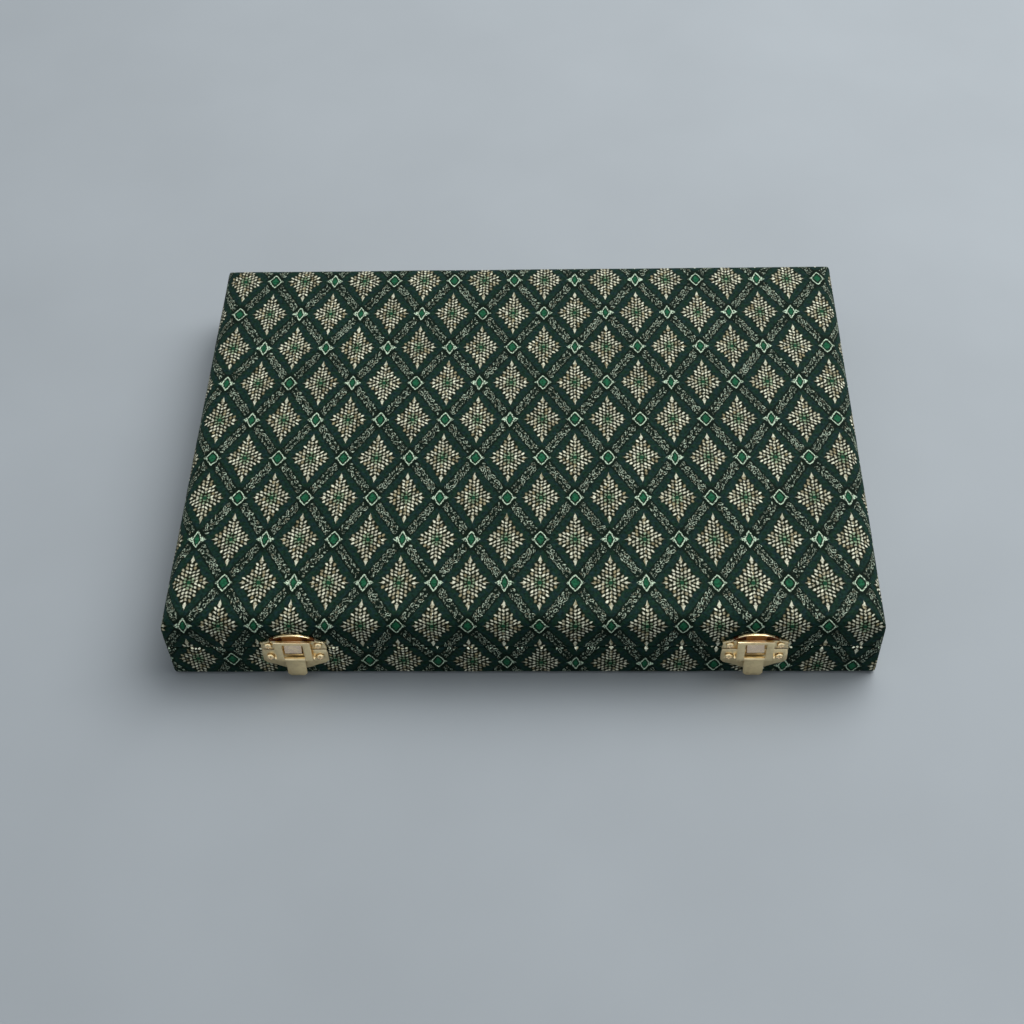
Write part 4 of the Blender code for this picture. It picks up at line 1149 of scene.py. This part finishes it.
class AmuletStage(bpy.types.PropertyGroup):
    """Floor and light."""

    floor: tint("Floor", "Colour of the floor", (0.42, 0.46, 0.49))
    surround: tint("Surround", "Colour of the surround", (0.86, 0.90, 0.94))
    ambient: number("Ambient", "Share of the surround that lights the box", 0.31, min=0.0, max=1.0)
    power: number("Lamp Power", "Power of the main lamp", 29.2, min=0.0, unit="POWER")


class AMULET_OT_lid_cover(bpy.types.Operator):
    """Stretch the brocade over the lid"""

    bl_idname = "amulet.lid_cover"
    bl_label = "Lid Cover"

    def execute(self, context):
        lid_cover()
        return {"FINISHED"}


class AMULET_OT_base_cover(bpy.types.Operator):
    """Stretch the brocade round the base"""

    bl_idname = "amulet.base_cover"
    bl_label = "Base Cover"

    def execute(self, context):
        base_cover()
        return {"FINISHED"}


class AMULET_OT_boards(bpy.types.Operator):
    """Finish the boards and the paper under the floor"""

    bl_idname = "amulet.boards"
    bl_label = "Boards and Paper"

    def execute(self, context):
        for node in NODES:
            if node.endswith("_board"):
                finish_node(node, "greyboard")
        finish_node("base_bottom_sheet", "backing paper")
        return {"FINISHED"}


class AMULET_OT_linings(bpy.types.Operator):
    """Line the walls and the wells with flocked card"""

    bl_idname = "amulet.linings"
    bl_label = "Flocked Linings"

    def execute(self, context):
        for node in sorted(NODES):
            if "_divider_" in node or node.endswith("_lining"):
                rounded_copy(f"{node}_flock", node, ["flocked card"], CARD_ROUND, 3)
        return {"FINISHED"}


class AMULET_OT_cushion(bpy.types.Operator):
    """Make the velvet pad under the lid"""

    bl_idname = "amulet.cushion"
    bl_label = "Lid Cushion"

    def execute(self, context):
        lid_cushion()
        return {"FINISHED"}


class AMULET_OT_latches(bpy.types.Operator):
    """Make the two gilt latches"""

    bl_idname = "amulet.latches"
    bl_label = "Latches"

    def execute(self, context):
        for hand in ("left", "right"):
            latch(hand)
        return {"FINISHED"}


class AMULET_OT_hinges(bpy.types.Operator):
    """Make the two butt hinges"""

    bl_idname = "amulet.hinges"
    bl_label = "Hinges"

    def execute(self, context):
        for hand in ("left", "right"):
            hinge(hand)
        return {"FINISHED"}


class AMULET_OT_screws(bpy.types.Operator):
    """Make the round-head screws"""

    bl_idname = "amulet.screws"
    bl_label = "Screws"

    def execute(self, context):
        for node in sorted(NODES):
            if "_screw_" in node:
                rounded_copy(f"{node}_gilt", node, GILT, SCREW_ROUND)
        return {"FINISHED"}


class AMULET_OT_stage(bpy.types.Operator):
    """Set the floor, the surround, the lamp and the camera"""

    bl_idname = "amulet.stage"
    bl_label = "Stage"

    def execute(self, context):
        context.scene.view_settings.view_transform = "Standard"
        stage_floor()
        stage_world()
        stage_lamp()
        stage_camera()
        return {"FINISHED"}


OPERATORS = (
    AMULET_OT_lid_cover,
    AMULET_OT_base_cover,
    AMULET_OT_boards,
    AMULET_OT_linings,
    AMULET_OT_cushion,
    AMULET_OT_latches,
    AMULET_OT_hinges,
    AMULET_OT_screws,
    AMULET_OT_stage,
)
SETTINGS = (
    ("amulet_cloth", AmuletCloth),
    ("amulet_metal", AmuletMetal),
    ("amulet_lining", AmuletLining),
    ("amulet_stage", AmuletStage),
)


class AMULET_PT_panel(bpy.types.Panel):
    """Sizes, colours and steps of the amulet box"""

    bl_label = "Amulet Box"
    bl_space_type = "VIEW_3D"
    bl_region_type = "UI"
    bl_category = "Amulet Box"

    def draw(self, context):
        for name, group in SETTINGS:
            column = self.layout.column(heading=group.__doc__)
            for key in group.__annotations__:
                column.prop(getattr(context.scene, name), key)
        for operator in OPERATORS:
            self.layout.operator(operator.bl_idname)


def register():
    for name, group in SETTINGS:
        bpy.utils.register_class(group)
        setattr(bpy.types.Scene, name, bpy.props.PointerProperty(type=group))
    for item in (*OPERATORS, AMULET_PT_panel):
        bpy.utils.register_class(item)


def unregister():
    for item in (AMULET_PT_panel, *reversed(OPERATORS)):
        bpy.utils.unregister_class(item)
    for name, group in reversed(SETTINGS):
        delattr(bpy.types.Scene, name)
        bpy.utils.unregister_class(group)


def main():
    """Register the add-on, run its steps in order and write the two sizes down."""
    register()
    for operator in OPERATORS:
        group, step = operator.bl_idname.split(".")
        getattr(getattr(bpy.ops, group), step)()


if __name__ == "__main__":
    main()
